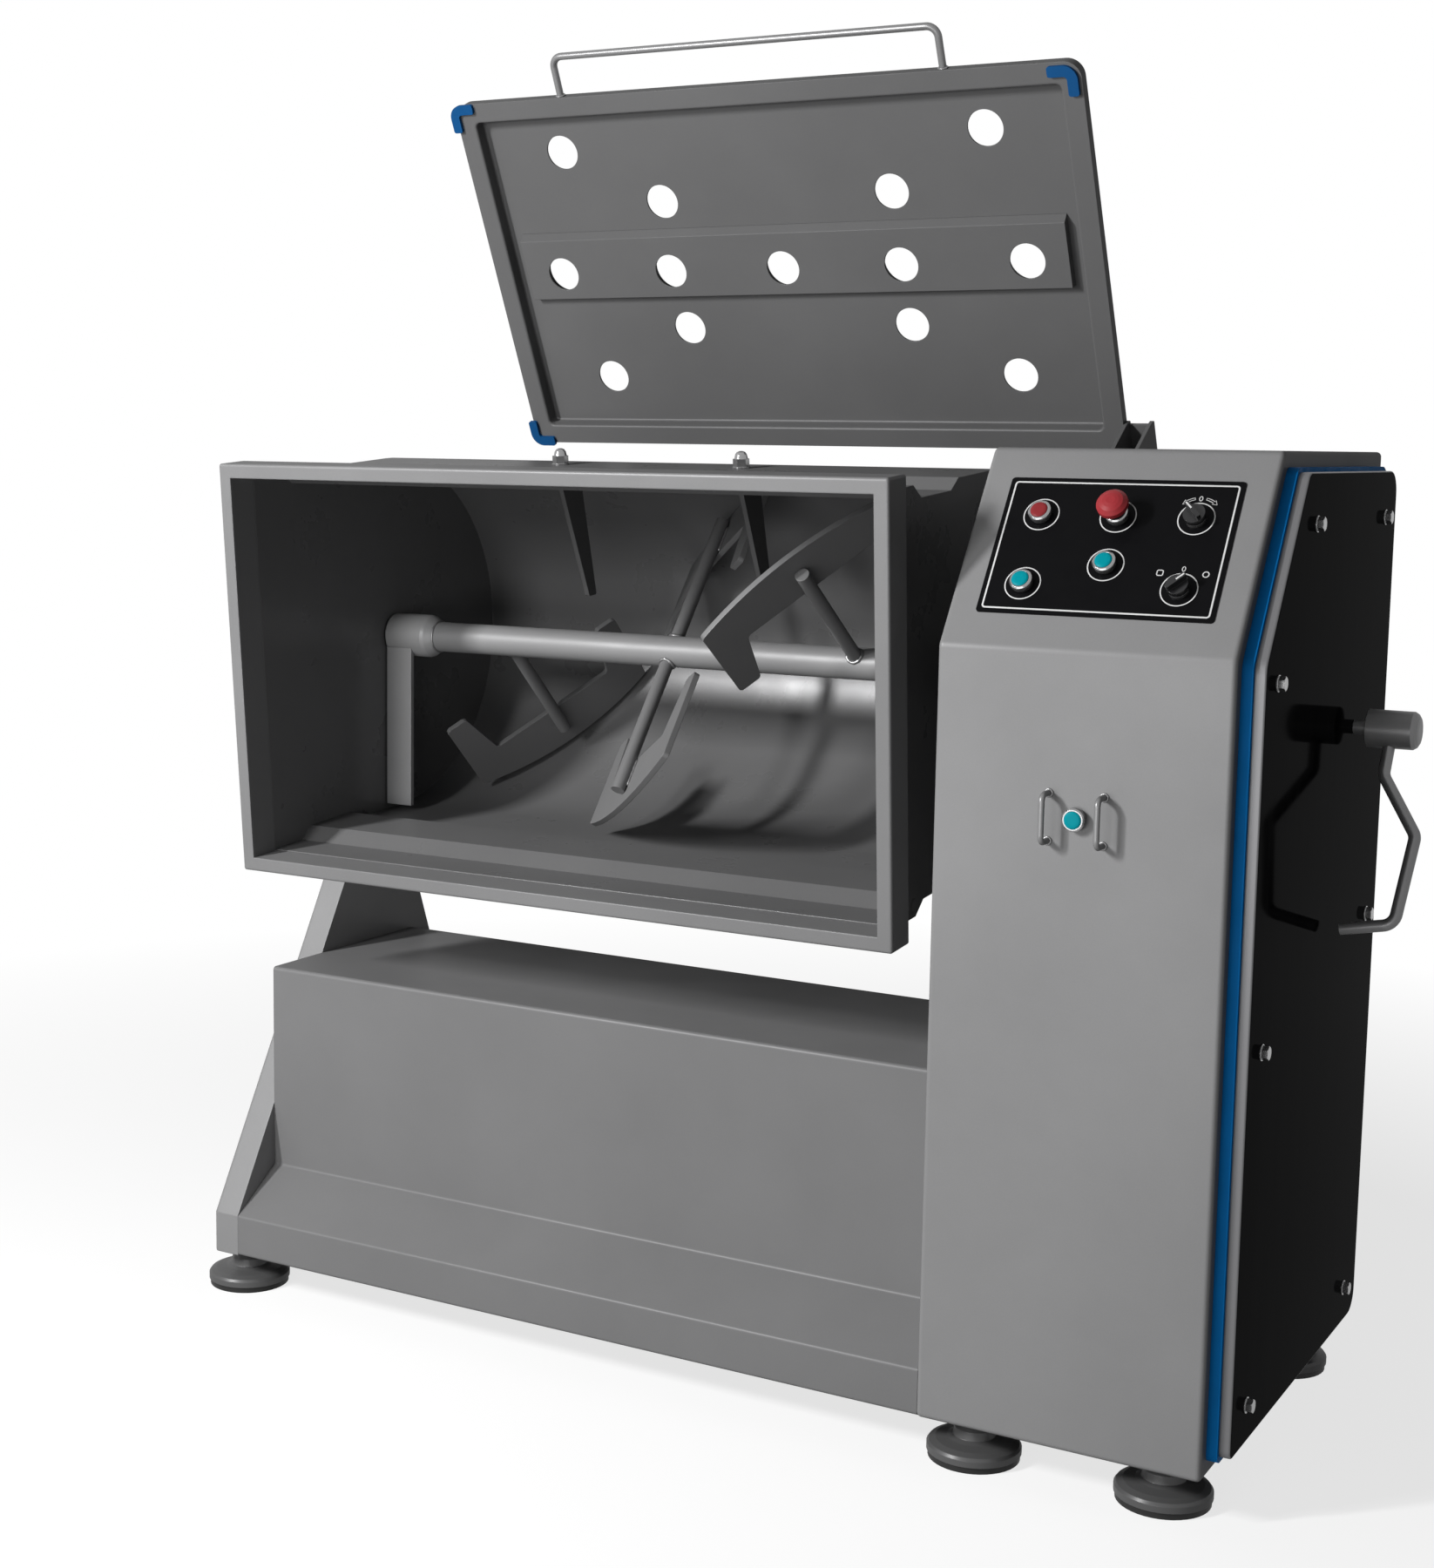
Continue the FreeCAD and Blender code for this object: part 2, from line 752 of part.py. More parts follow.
def make_trough():
    outer = trough_section(0, trough_left, trough_right, flange_low)
    inner = trough_section(sheet, trough_left + sheet, trough_right - sheet, flange_high)
    body = outer.cut(inner)
    holes = [rod(V(trough_left - 5, axis_y, axis_z), along_x, trunnion_bore,
                 trough_right - trough_left + 10)]
    for x in knife_places:
        holes.append(rod(V(x, axis_y + trough_radius - 2 * sheet, axis_z + knife_stud_v), V(0, 1, 0),
                         knife_stud_radius, 4 * sheet))
    return tipped(body.cut(group(holes)))


def make_flange():
    """The folded rim round the mouth, open underneath."""
    over = flange_face - sheet
    low = axis_z + flange_low
    high = axis_z + flange_high
    y0 = axis_y - flange_half
    y1 = axis_y + flange_half
    body = box((trough_left - over, y0, low), (trough_right + over, y1, high))
    soft = [edge for edge in body.Edges
            if edge.BoundBox.ZMin > high - 1e-6 or edge.BoundBox.ZLength > 1]
    body = body.makeFillet(flange_round, soft)
    mouth = box((trough_left + sheet, y0 + flange_face, low - 1),
                (trough_right - sheet, y1 - flange_face, high + 1))
    outer = box((trough_left - over + sheet, y0 + sheet, low - 1),
                (trough_right + over - sheet, y1 - sheet, high - sheet))
    inner = box((trough_left, y0 + flange_face - sheet, low - 2),
                (trough_right, y1 - flange_face + sheet, high))
    return tipped(body.cut(mouth).cut(outer.cut(inner)))


def make_trunnion(face, outwards, length):
    start = V(face, axis_y, axis_z)
    disc = rod(start, outwards, trunnion_disc, trunnion_disc_thick)
    tube = rod(start, outwards, trunnion_radius, length)
    return tipped(fused([disc, tube]).cut(rod(start - outwards, outwards, trunnion_bore, length + 2)))


left_end = column_left - 8
trunnion_left_length = trough_left - left_end + 6
trunnion_right_length = gear_left + gear_width - trough_right


def make_seals():
    """A lip seal in each trunnion's mouth, round the mixing shaft."""
    solids = []
    for x in (trough_left - trunnion_disc_thick - seal_length, trough_right + trunnion_disc_thick):
        solids.append(ring(V(x, axis_y, axis_z), along_x, trunnion_bore,
                           shaft_radius + running_gap, seal_length))
    return group(solids)


def make_bushes():
    """The plain bushes that carry the mixing shaft inside the trunnions."""
    solids = []
    for x in (left_end, sheet):
        solids.append(ring(V(x, axis_y, axis_z), along_x, trunnion_bore,
                           shaft_radius + running_gap, bearing_length))
    return group(solids)


def make_knives():
    """Tapering fixed blades that the paddles pass between, each with its stud."""
    solids = []
    root = axis_y + trough_radius - sheet
    tip = root - knife_tip_depth
    for x in knife_places:
        x0 = x - knife_thick / 2
        blade = slab_x([(root, axis_z + knife_root[0]), (root, axis_z + knife_root[1]),
                        (tip, axis_z + knife_tip[1]), (tip, axis_z + knife_tip[0])],
                       x0, x0 + knife_thick, [0, 0, 3.0, 3.0])
        stud = rod(V(x, root, axis_z + knife_stud_v), V(0, 1, 0), knife_stud_radius, sheet + 14)
        solids.append(tipped(fused([blade, stud])))
    return group(solids)


def make_dome_nuts():
    solids = []
    outwards = V(0, 1, 0)
    for x in knife_places:
        seat = V(x, axis_y + trough_radius, axis_z + knife_stud_v)
        washer = rod(seat, outwards, nut_af * 0.62, 2.5)
        body = hexagon(seat + outwards * 2.5, outwards, nut_af, nut_hex_high)
        dome = revolved(seat, outwards,
                        ((nut_hex_high + 2.5, 0), (nut_hex_high + 2.5, nut_af / 2 - 0.5),
                         (nut_high - 5, nut_af / 2 - 2), (nut_high - 1.5, nut_af / 4 + 1),
                         (nut_high, nut_af / 8), (nut_high, 0)))
        nut = fused([washer, body, dome])
        solids.append(tipped(nut.cut(rod(seat - outwards, outwards, knife_stud_radius, 15))))
    return group(solids)


pieces["trough_shell"] = make_trough()
pieces["trough_flange"] = make_flange()
pieces["left_trunnion"] = make_trunnion(trough_left, V(-1, 0, 0), trunnion_left_length)
pieces["right_trunnion"] = make_trunnion(trough_right, along_x, trunnion_right_length)
pieces["shaft_seals"] = make_seals()
pieces["shaft_bushes"] = make_bushes()
pieces["knives"] = make_knives()
pieces["knife_nuts"] = make_dome_nuts()

# Mixing shaft. Each paddle has its place along the shaft, the angle of its spoke counted from
# the back (+Y) upwards, the twist of its blade, the side of the spoke that the blade lies on
# and the length of the spoke.

paddles = {
    "paddle_left": (-940.0, -42.5, 50.0, -1, 241.0),
    "paddle_middle_upper": (-627.0, 51.2, 45.0, 1, 262.0),
    "paddle_middle_lower": (-627.0, -128.8, -45.0, -1, 262.0),
    "paddle_right": (-295.5, 145.0, -48.0, 1, 252.0),
}
shaft_left = left_end + 4
shaft_right = plate_x - 6


def make_shaft():
    length = shaft_right - shaft_left
    start = V(shaft_left, axis_y, axis_z)
    return revolved(start, along_x, ((0, 0), (0, shaft_radius - 2), (2, shaft_radius),
                                     (length - 2, shaft_radius), (length, shaft_radius - 2), (length, 0)))


def make_hub():
    """The stout sleeve at the shaft's left end, tapering to the shaft."""
    start = V(hub_left, axis_y, axis_z)
    r = hub_radius
    end = hub_length + hub_taper
    body = revolved(start, along_x, ((0, 0), (0, r - 2), (2, r), (hub_length, r), (hub_length + 6, r - 1.5),
                                     (end, shaft_radius + 3), (end + 3, shaft_radius + 0.5), (end + 3, 0)))
    return body.cut(rod(start - along_x, along_x, shaft_radius, end + 10))


def spoke_frame(angle):
    a = radians(angle)
    return V(0, cos(a), sin(a)), V(0, -sin(a), cos(a))


def make_spokes():
    solids = []
    for x, angle, twist, side, reach in paddles.values():
        radial, tangent = spoke_frame(angle)
        spoke = rod(V(x, axis_y, axis_z), radial, spoke_radius, reach)
        past = 2 * spoke_radius
        solids.append(spoke.cut(rod(V(x - past, axis_y, axis_z), along_x, shaft_radius, 2 * past)))
    return group(solids)


def make_paddle(x, angle, twist, side):
    """A flat C-shaped blade across its spoke, with a hook at each end."""
    radial, tangent = spoke_frame(angle)
    a = radians(twist)
    along = along_x * cos(a) + tangent * sin(a)
    normal = radial.cross(along) * side
    start = V(x, axis_y, axis_z) + normal * spoke_radius

    def at(s, r):
        return start + along * s + radial * r

    corner = sqrt(paddle_reach ** 2 - (paddle_half * sin(a)) ** 2)
    hook_inner = paddle_half - hook_width
    points = [at(paddle_half, corner), at(paddle_half, hook_low), at(hook_inner, hook_low),
              at(paddle_inner_half, paddle_inner), at(-paddle_inner_half, paddle_inner),
              at(-hook_inner, hook_low), at(-paddle_half, hook_low), at(-paddle_half, corner)]
    edges = [Part.LineSegment(points[i], points[i + 1]).toShape() for i in range(len(points) - 1)]
    edges.append(Part.Arc(points[-1], at(0, paddle_reach), points[0]).toShape())
    blade = Part.Face(Part.Wire(edges)).extrude(normal * paddle_thick)
    corners = [edge for edge in blade.Edges if abs(edge.Length - paddle_thick) < 1e-6]
    return blade.makeFillet(paddle_round, corners)


def make_wiper():
    """The flat bar that scrapes the left end wall, hanging from the hub."""
    x0 = hub_left + 1
    y0 = axis_y - wiper_forward - wiper_thick / 2
    bar = box((x0, y0, axis_z - wiper_reach),
              (x0 + wiper_width, y0 + wiper_thick, axis_z - hub_radius / 2))
    return bar.cut(rod(V(x0 - 5, axis_y, axis_z), along_x, hub_radius, wiper_width + 10))


pieces["mixing_shaft"] = make_shaft()
pieces["shaft_hub"] = make_hub()
pieces["paddle_spokes"] = make_spokes()
for name, (x, angle, twist, side, reach) in paddles.items():
    pieces[name] = make_paddle(x, angle, twist, side)
pieces["end_wiper"] = make_wiper()

# Tilt drive


def involute(base, radius):
    """The polar angle of an involute from its base circle out to a radius."""
    ratio = max(radius / base, 1.0)
    turn = sqrt(ratio * ratio - 1)
    return turn - atan2(turn, 1)


def gear_wire(teeth, first, count, x):
    """The outline of a run of teeth, closed through the gear's middle if it is a sector."""
    pitch = gear_module * teeth / 2
    base = pitch * cos(radians(pressure_angle))
    tip = pitch + gear_module
    root = pitch - 1.25 * gear_module
    half_pitch = pi / teeth / 2 - gear_backlash / pitch / 2 + involute(base, pitch)
    start = max(base, root + 0.3)
    steps = 4
    flank = [start + (tip - start) * i / steps for i in range(steps + 1)]
    edges = []
    previous = None

    def at(radius, angle):
        return V(x, axis_y + radius * cos(angle), axis_z + radius * sin(angle))

    for i in range(count):
        middle = radians(first) + 2 * pi * i / teeth
        rise = [at(r, middle - half_pitch + involute(base, r)) for r in flank]
        fall = [at(r, middle + half_pitch - involute(base, r)) for r in reversed(flank)]
        foot_in = at(root, middle - half_pitch - 0.2 / root)
        foot_out = at(root, middle + half_pitch + 0.2 / root)
        if previous is not None:
            edges.append(Part.LineSegment(previous, foot_in).toShape())
        else:
            first_foot = foot_in
        edges.append(Part.LineSegment(foot_in, rise[0]).toShape())
        curve = Part.BSplineCurve()
        curve.interpolate(rise)
        edges.append(curve.toShape())
        edges.append(Part.LineSegment(rise[-1], fall[0]).toShape())
        curve = Part.BSplineCurve()
        curve.interpolate(fall)
        edges.append(curve.toShape())
        edges.append(Part.LineSegment(fall[-1], foot_out).toShape())
        previous = foot_out
    return edges, first_foot, previous


def make_sector():
    """The toothed sector on the right trunnion, with a hub and a lightened web."""
    step = 360.0 / gear_teeth
    spare = round((pinion_angle - gear_sector[0]) / step)
    first = pinion_angle - spare * step
    count = int((gear_sector[1] - first) / step) + 1
    x = gear_left
    edges, start, end = gear_wire(gear_teeth, first, count, x)
    centre = V(x, axis_y, axis_z)
    edges.append(Part.LineSegment(end, centre).toShape())
    edges.append(Part.LineSegment(centre, start).toShape())
    body = Part.Face(Part.Wire(edges)).extrude(V(gear_width, 0, 0))
    body = body.fuse(rod(centre, along_x, trunnion_radius + 20, gear_width))
    mid = radians((first + gear_sector[1]) / 2)
    for turn in (-radians(sector_window_step), 0.0, radians(sector_window_step)):
        window = V(x - 1, axis_y + sector_window_at * cos(mid + turn),
                   axis_z + sector_window_at * sin(mid + turn))
        body = body.cut(rod(window, along_x, sector_window, gear_width + 2))
    return body.cut(rod(centre - along_x, along_x, trunnion_radius, gear_width + 2)).removeSplitter()


gear_distance = gear_module * (gear_teeth + pinion_teeth) / 2
pinion_point = axis_point + V(0, cos(radians(pinion_angle)), sin(radians(pinion_angle))) * gear_distance


def make_pinion():
    """The pinion, turned so that a space faces the sector's tooth, and its shaft."""
    step = 360.0 / pinion_teeth
    facing = pinion_angle + 180
    edges, start, end = gear_wire(pinion_teeth, facing + step / 2, pinion_teeth, gear_left - 2)
    edges.append(Part.LineSegment(end, start).toShape())
    body = Part.Face(Part.Wire(edges)).extrude(V(gear_width + 4, 0, 0))
    body.translate(pinion_point - axis_point)
    stub = rod(V(gear_left - 2, pinion_point.y, pinion_point.z), along_x, pinion_bore,
               tilt_box_left + 60 - gear_left)
    return fused([body, stub])


def gearmotor(left, right, centre_y, centre_z, half_y, half_z, bore, motor_radius, motor_length):
    """A gearbox with rounded corners, and its finned motor hanging below."""
    corners = [(centre_y - half_y, centre_z - half_z), (centre_y - half_y, centre_z + half_z),
               (centre_y + half_y, centre_z + half_z), (centre_y + half_y, centre_z - half_z)]
    case = slab_x(corners, left, right, min(half_y, half_z) * 0.35)
    middle = (left + right) / 2
    neck_low = centre_z - half_z - 25
    neck = rod(V(middle, centre_y, neck_low), V(0, 0, 1), motor_radius * 0.7, 40)
    bore_start = V(left - 1, centre_y, centre_z)
    box_solid = fused([case, neck]).cut(rod(bore_start, along_x, bore, right - left + 2))
    top = neck_low
    down = V(0, 0, -1)
    profile = [(0, 0), (0, motor_radius * 0.92), (14, motor_radius * 0.92)]
    fins = 6
    pitch = (motor_length - 90) / fins
    for i in range(fins):
        z = 14 + i * pitch
        profile += [(z, motor_radius * 0.82), (z + pitch * 0.55, motor_radius * 0.82),
                    (z + pitch * 0.55, motor_radius * 0.92), (z + pitch, motor_radius * 0.92)]
    z = 14 + fins * pitch
    profile += [(z, motor_radius), (motor_length - 8, motor_radius),
                (motor_length, motor_radius - 8), (motor_length, 0)]
    motor = revolved(V(middle, centre_y, top), down, profile)
    return box_solid, motor


def make_drive_plate():
    """The upright plate that carries both gearboxes, with a foot along the cabinet's floor."""
    floor = cab_bottom + sheet
    upright = box((plate_x, plate_front, floor), (plate_x + plate_thick, plate_back, plate_top))
    foot = box((plate_x - 60, plate_front, floor), (plate_x + plate_thick, plate_back, floor + plate_thick))
    body = fused([upright, foot])
    for x, y in foot_places:
        if x > 0:
            body = body.cut(rod(V(x, y, floor - 1), V(0, 0, 1), stem_radius + 6, stem_above + 5))
    return body


pieces["tilt_sector"] = tipped(turned(make_sector(), axis_point, -rest_tilt))
pieces["tilt_pinion"] = make_pinion()
mixer_case, mixer_motor = gearmotor(mixer_box_left, plate_x, axis_y, axis_z, mixer_box[0], mixer_box[1],
                                    shaft_radius + running_gap, mixer_motor_radius, mixer_motor_length)
tilt_case, tilt_motor = gearmotor(tilt_box_left, plate_x, pinion_point.y, pinion_point.z, tilt_box_half,
                                  tilt_box_half, pinion_bore + running_gap, tilt_motor_radius,
                                  tilt_motor_length)
pieces["mixer_gearbox"] = mixer_case
pieces["mixer_motor"] = mixer_motor
pieces["tilt_gearbox"] = tilt_case
pieces["tilt_motor"] = tilt_motor
pieces["drive_plate"] = make_drive_plate()

# Electrical parts


def make_switchgear():
    """The back plate with its row of contactors."""
    x0, z0, x1, z1 = gear_plate
    back = cab_depth - sheet
    solids = [box((x0, back - gear_plate_thick, z0), (x1, back, z1))]
    width, deep, high = contactor_size
    pitch = (x1 - x0) / contactor_count
    for i in range(contactor_count):
        left = x0 + pitch * (i + 0.5) - width / 2
        low = (z0 + z1) / 2
        solids.append(box((left, back - gear_plate_thick - deep, low),
                          (left + width, back - gear_plate_thick, low + high)))
    return group(solids)


def make_gland():
    out = V(0, 1, 0)
    face = V(gland_x, cab_depth, gland_z)
    body = hexagon(face, out, gland_af, gland_hex)
    dome = revolved(face + out * gland_hex, out,
                    ((0, 0), (0, gland_af / 2 - 1), (gland_dome - 8, gland_af / 2 - 2),
                     (gland_dome, gland_bore + 3), (gland_dome, 0)))
    inner = rod(face - out * (sheet + 12), out, gland_thread, sheet + 12)
    nut = hexagon(face - out * (sheet + 6), out, gland_af + 4, 6.0)
    whole = fused([body, dome, inner, nut])
    inside = sheet + 13
    return whole.cut(rod(face - out * inside, out, gland_bore, inside + gland_hex + gland_dome + 1))


pieces["switchgear"] = make_switchgear()
pieces["cable_gland"] = make_gland()

# Lid, modelled closed over the upright trough and then swung open

lid_rim = axis_z + flange_high + lid_pad + lid_gap
lid_front = lid_back - lid_length
lid_middle = (lid_left + lid_right) / 2


def swung(shape):
    return turned(shape, hinge_point, -lid_open)


def lid_outline(margin, low, high, corner):
    points = [V(lid_left + margin, lid_front + margin, low), V(lid_right - margin, lid_front + margin, low),
              V(lid_right - margin, lid_back - margin, low), V(lid_left + margin, lid_back - margin, low)]
    return Part.Face(outline(points, corner)).extrude(V(0, 0, high - low))


def hole_places():
    for along, offsets in lid_holes:
        for offset in offsets:
            for side in ((1,) if offset == 0 else (-1, 1)):
                yield lid_middle + lid_holes_offset + side * offset, lid_back - along


def make_lid():
    """A dished pan: flat band round the rim, a step up to the sheet and a lip outside."""
    top = lid_rim + lid_dish + lid_sheet
    inner_corner = lid_corner / 3
    dish = lid_outline(lid_band - lid_sheet, lid_rim, top, inner_corner)
    band = lid_outline(0, lid_rim, lid_rim + lid_lip, lid_corner)
    trench = lid_outline(lid_sheet, lid_rim + lid_sheet, top, lid_corner - lid_sheet)
    pocket = lid_outline(lid_band, lid_rim - 1, lid_rim + lid_dish, inner_corner)
    dish = dish.makeFillet(lid_bend + lid_sheet, [edge for edge in dish.Edges
                                                  if edge.BoundBox.ZMin > top - 1e-6])
    pocket = pocket.makeFillet(lid_bend, [edge for edge in pocket.Edges
                                          if edge.BoundBox.ZMin > lid_rim + lid_dish - 1e-6])
    body = band.cut(trench).fuse(dish).cut(pocket).removeSplitter()
    around = lid_band - 1
    inside = FreeCAD.BoundBox(lid_left + around, lid_front + around, lid_rim - 1,
                              lid_right - around, lid_back - around, lid_rim + 1)
    body = body.makeFillet(lid_bend, [edge for edge in body.Edges if inside.isInside(edge.BoundBox)])
    holes = []
    for x, y in hole_places():
        radius = lid_hole_behind if channel_low < lid_back - y < channel_foot else lid_hole
        holes.append(rod(V(x, y, lid_rim), V(0, 0, 1), radius, 2 * lid_dish))
    return swung(body.cut(group(holes)).removeSplitter())


def make_channel():
    """The folded stiffener across the inside, with one sloping side."""
    deep = lid_rim + lid_dish
    face = deep - channel_stand
    slope = [(lid_back - channel_low, deep), (lid_back - channel_low, face),
             (lid_back - channel_high, face), (lid_back - channel_foot, deep)]
    under = [(lid_back - channel_low - lid_sheet, deep + 1), (lid_back - channel_low - lid_sheet,
                                                              face + lid_sheet),
             (lid_back - channel_high + 1, face + lid_sheet), (lid_back - channel_foot + lid_sheet,
                                                               deep + 1)]
    x0 = lid_middle - channel_half
    x1 = lid_middle + channel_half
    body = slab_x(slope, x0, x1).cut(slab_x(under, x0 + lid_sheet, x1 - lid_sheet))
    holes = [rod(V(x, y, face - 1), V(0, 0, 1), lid_hole, 2 * lid_dish) for x, y in hole_places()]
    return swung(body.cut(group(holes)))


def make_pads():
    """The three soft corner pieces that the closed lid rests on, two of them past its left edge."""
    solids = []
    r = lid_corner - pad_inset
    w = pad_width
    leg = pad_leg
    for x, y, sx, sy in ((lid_left - pad_outset, lid_front, 1, 1),
                         (lid_right - pad_inset, lid_front + pad_inset, -1, 1),
                         (lid_left - pad_outset, lid_back + pad_behind, 1, -1)):
        flat = [V(x, y, 0), V(x + sx * leg, y, 0), V(x + sx * leg, y + sy * w, 0),
                V(x + sx * w, y + sy * w, 0), V(x + sx * w, y + sy * leg, 0), V(x, y + sy * leg, 0)]
        flat = [V(p.x, p.y, lid_rim - lid_pad) for p in flat]
        face = Part.Face(outline(flat, [r, 4.0, 4.0, r - w if r > w + 1 else 1.0, 4.0, 4.0]))
        solids.append(swung(face.extrude(V(0, 0, lid_pad))))
    return group(solids)


def make_handle():
    y0 = lid_front
    z = lid_rim + lid_lip / 2
    left = lid_middle + handle_offset - handle_half
    right = lid_middle + handle_offset + handle_half
    path = [V(left, y0, z), V(left, y0 - handle_reach, z), V(right, y0 - handle_reach, z), V(right, y0, z)]
    return swung(bent_rod(path, handle_radius, handle_bend))


def make_arm():
    """Two cheek plates from the lid's right end down to the hinge shaft, joined by a web."""
    top = lid_rim + lid_lip
    front = lid_back - arm_reach
    back = hinge_y + hinge_radius * 2
    left = lid_right
    right = -arm_gap
    cheek = [(front, lid_rim), (front, top), (back + 10, top), (back, hinge_z), (hinge_y, hinge_z - 30),
             (hinge_y - 30, hinge_z)]
    rounds = [6.0, 4.0, 10.0, 20.0, 20.0, 20.0]
    cheeks = [slab_x(cheek, x, x + arm_plate, rounds) for x in (left, right - arm_plate)]
    web = slab_x([(back + 4, top - 12), (back + 10, top - 12), (back + 2, hinge_z + 30),
                  (back - 4, hinge_z + 30)], left, right)
    head = box((left, front + 6, top - 6), (right, back, top))
    body = fused(cheeks + [web, head])
    return swung(body.cut(rod(V(left - 1, hinge_y, hinge_z), along_x, hinge_radius, right - left + 2)))


hinge_bearing_places = (36.0, 300.0)


def make_hinge_shaft():
    right = hinge_bearing_places[1] + bearing_block + 6
    start = V(lid_right, hinge_y, hinge_z)
    return swung(rod(start, along_x, hinge_radius, right - lid_right))


def make_hinge_bearings():
    """Two blocks on the cabinet's back, bored for the lid's hinge shaft."""
    solids = []
    for x in hinge_bearing_places:
        half = 50.0
        reach = hinge_y - cab_depth
        block = slab_x([(cab_depth, hinge_z - half), (cab_depth, hinge_z + half),
                        (cab_depth + 10, hinge_z + half), (hinge_y + reach, hinge_z + 14),
                        (hinge_y + reach, hinge_z - 14), (cab_depth + 10, hinge_z - half)],
                       x, x + bearing_block, [0, 0, 4.0, 12.0, 12.0, 4.0])
        solids.append(block.cut(rod(V(x - 1, hinge_y, hinge_z), along_x, hinge_radius + running_gap,
                                    bearing_block + 2)))
    return group(solids)


pieces["lid_pan"] = make_lid()
pieces["lid_channel"] = make_channel()
pieces["lid_pads"] = make_pads()
pieces["lid_handle"] = make_handle()
pieces["lid_arm"] = make_arm()
pieces["hinge_shaft"] = make_hinge_shaft()
pieces["hinge_bearings"] = make_hinge_bearings()

# Lever on the service cover

cover_face = cab_width + gasket_thick + cover_depth


def make_lever_boss():
    start = V(cover_face - cover_depth, lever_y, lever_z)
    r = lever_boss_radius
    neck_end = cover_depth + lever_neck
    end = cover_depth + lever_boss_end
    profile = ((0, 0), (0, lever_spindle), (cover_depth + button_gap, lever_spindle),
               (cover_depth + button_gap, 10.0), (neck_end, 10.0), (neck_end, r - 1), (neck_end + 1, r),
               (end - 9, r), (end - 4, r - 3), (end - 1, r - 8), (end, r - 14), (end, 0))
    boss = revolved(start, along_x, profile)
    return boss.cut(make_lever_rod())


def make_lever_rod():
    a = radians(lever_swing)
    down = V(0, -sin(a), -cos(a))
    hub = V(cover_face, lever_y, lever_z)
    path = [hub + along_x * out + down * along for out, along in lever_path]
    return bent_rod(path, lever_rod, lever_bend)


def make_lever_catch():
    """The cam on the spindle's inner end, behind the cover."""
    x = cover_face - cover_depth - 8
    cam = slab_x([(lever_y - 12, lever_z - 30), (lever_y - 12, lever_z + 12), (lever_y + 12, lever_z + 12),
                  (lever_y + 12, lever_z - 30)], x, x + 8, 8.0)
    return cam


pieces["lever_rod"] = make_lever_rod()
pieces["lever_boss"] = make_lever_boss()
pieces["lever_catch"] = make_lever_catch()

# The whole machine moves so that its bottom centre is the origin.

whole = FreeCAD.BoundBox()
for shape in pieces.values():
    whole.add(shape.optimalBoundingBox(False, False))
shift = V(-(whole.XMin + whole.XMax) / 2, -(whole.YMin + whole.YMax) / 2, -whole.ZMin)
for name, shape in pieces.items():
    placed = shape.copy()
    placed.translate(shift)
    placed.exportStep("parts/%s.step" % name)
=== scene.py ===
from math import cos, pi, radians, sin, sqrt

import bmesh
import bpy
from mathutils import Matrix, Vector


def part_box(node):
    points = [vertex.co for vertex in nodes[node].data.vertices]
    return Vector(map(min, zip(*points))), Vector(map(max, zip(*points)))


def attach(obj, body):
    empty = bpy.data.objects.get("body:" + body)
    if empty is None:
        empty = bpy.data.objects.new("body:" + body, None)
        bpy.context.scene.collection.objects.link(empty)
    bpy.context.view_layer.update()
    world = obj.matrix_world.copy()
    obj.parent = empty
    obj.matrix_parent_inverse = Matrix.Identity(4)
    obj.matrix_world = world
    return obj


# Tilting trough mixer. Lengths are in metres, in the frame of the loaded parts. Most places are
# worked out from the parts' own boxes; the few sizes below repeat those of the parts.

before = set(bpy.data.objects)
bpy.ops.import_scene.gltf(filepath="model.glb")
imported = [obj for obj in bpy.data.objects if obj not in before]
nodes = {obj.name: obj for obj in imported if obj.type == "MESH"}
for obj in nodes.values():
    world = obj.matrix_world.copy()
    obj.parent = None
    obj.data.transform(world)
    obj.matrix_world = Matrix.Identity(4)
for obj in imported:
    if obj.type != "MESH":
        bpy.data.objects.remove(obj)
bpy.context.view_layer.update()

MM = 0.001
CABINET_BOTTOM = 64 * MM
PANEL_ANGLE = radians(34.3)
OVERLAY_THICK = 1.5 * MM

cabinet_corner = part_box("cabinet_shell")[0] - Vector((0, 0, CABINET_BOTTOM))
panel_up = Vector((0, sin(PANEL_ANGLE), cos(PANEL_ANGLE)))
panel_out = Vector((0, -cos(PANEL_ANGLE), sin(PANEL_ANGLE)))
along_x = Vector((1, 0, 0))
forward = Vector((0, -1, 0))

# Shader building blocks

# A noise's values crowd round its middle, so ramps of noise run between these two.
NOISE_LOW, NOISE_HIGH = 0.3, 0.7


def new_material(name):
    """A material with a Principled shader; returns it with its tree and that shader."""
    material = bpy.data.materials.new(name)
    material.use_nodes = True
    tree = material.node_tree
    return material, tree, tree.nodes["Principled BSDF"]


def coordinates(tree, stretch=(1, 1, 1)):
    """Object coordinates, stretched along the axes."""
    source = tree.nodes.new("ShaderNodeTexCoord")
    mapping = tree.nodes.new("ShaderNodeMapping")
    mapping.inputs["Scale"].default_value = stretch
    tree.links.new(source.outputs["Object"], mapping.inputs["Vector"])
    return mapping.outputs["Vector"]


def noise(tree, vector, scale, detail=3.0, roughness=0.55):
    """A noise texture's value."""
    node = tree.nodes.new("ShaderNodeTexNoise")
    node.inputs["Scale"].default_value = scale
    node.inputs["Detail"].default_value = detail
    node.inputs["Roughness"].default_value = roughness
    tree.links.new(vector, node.inputs["Vector"])
    return node.outputs["Fac"]


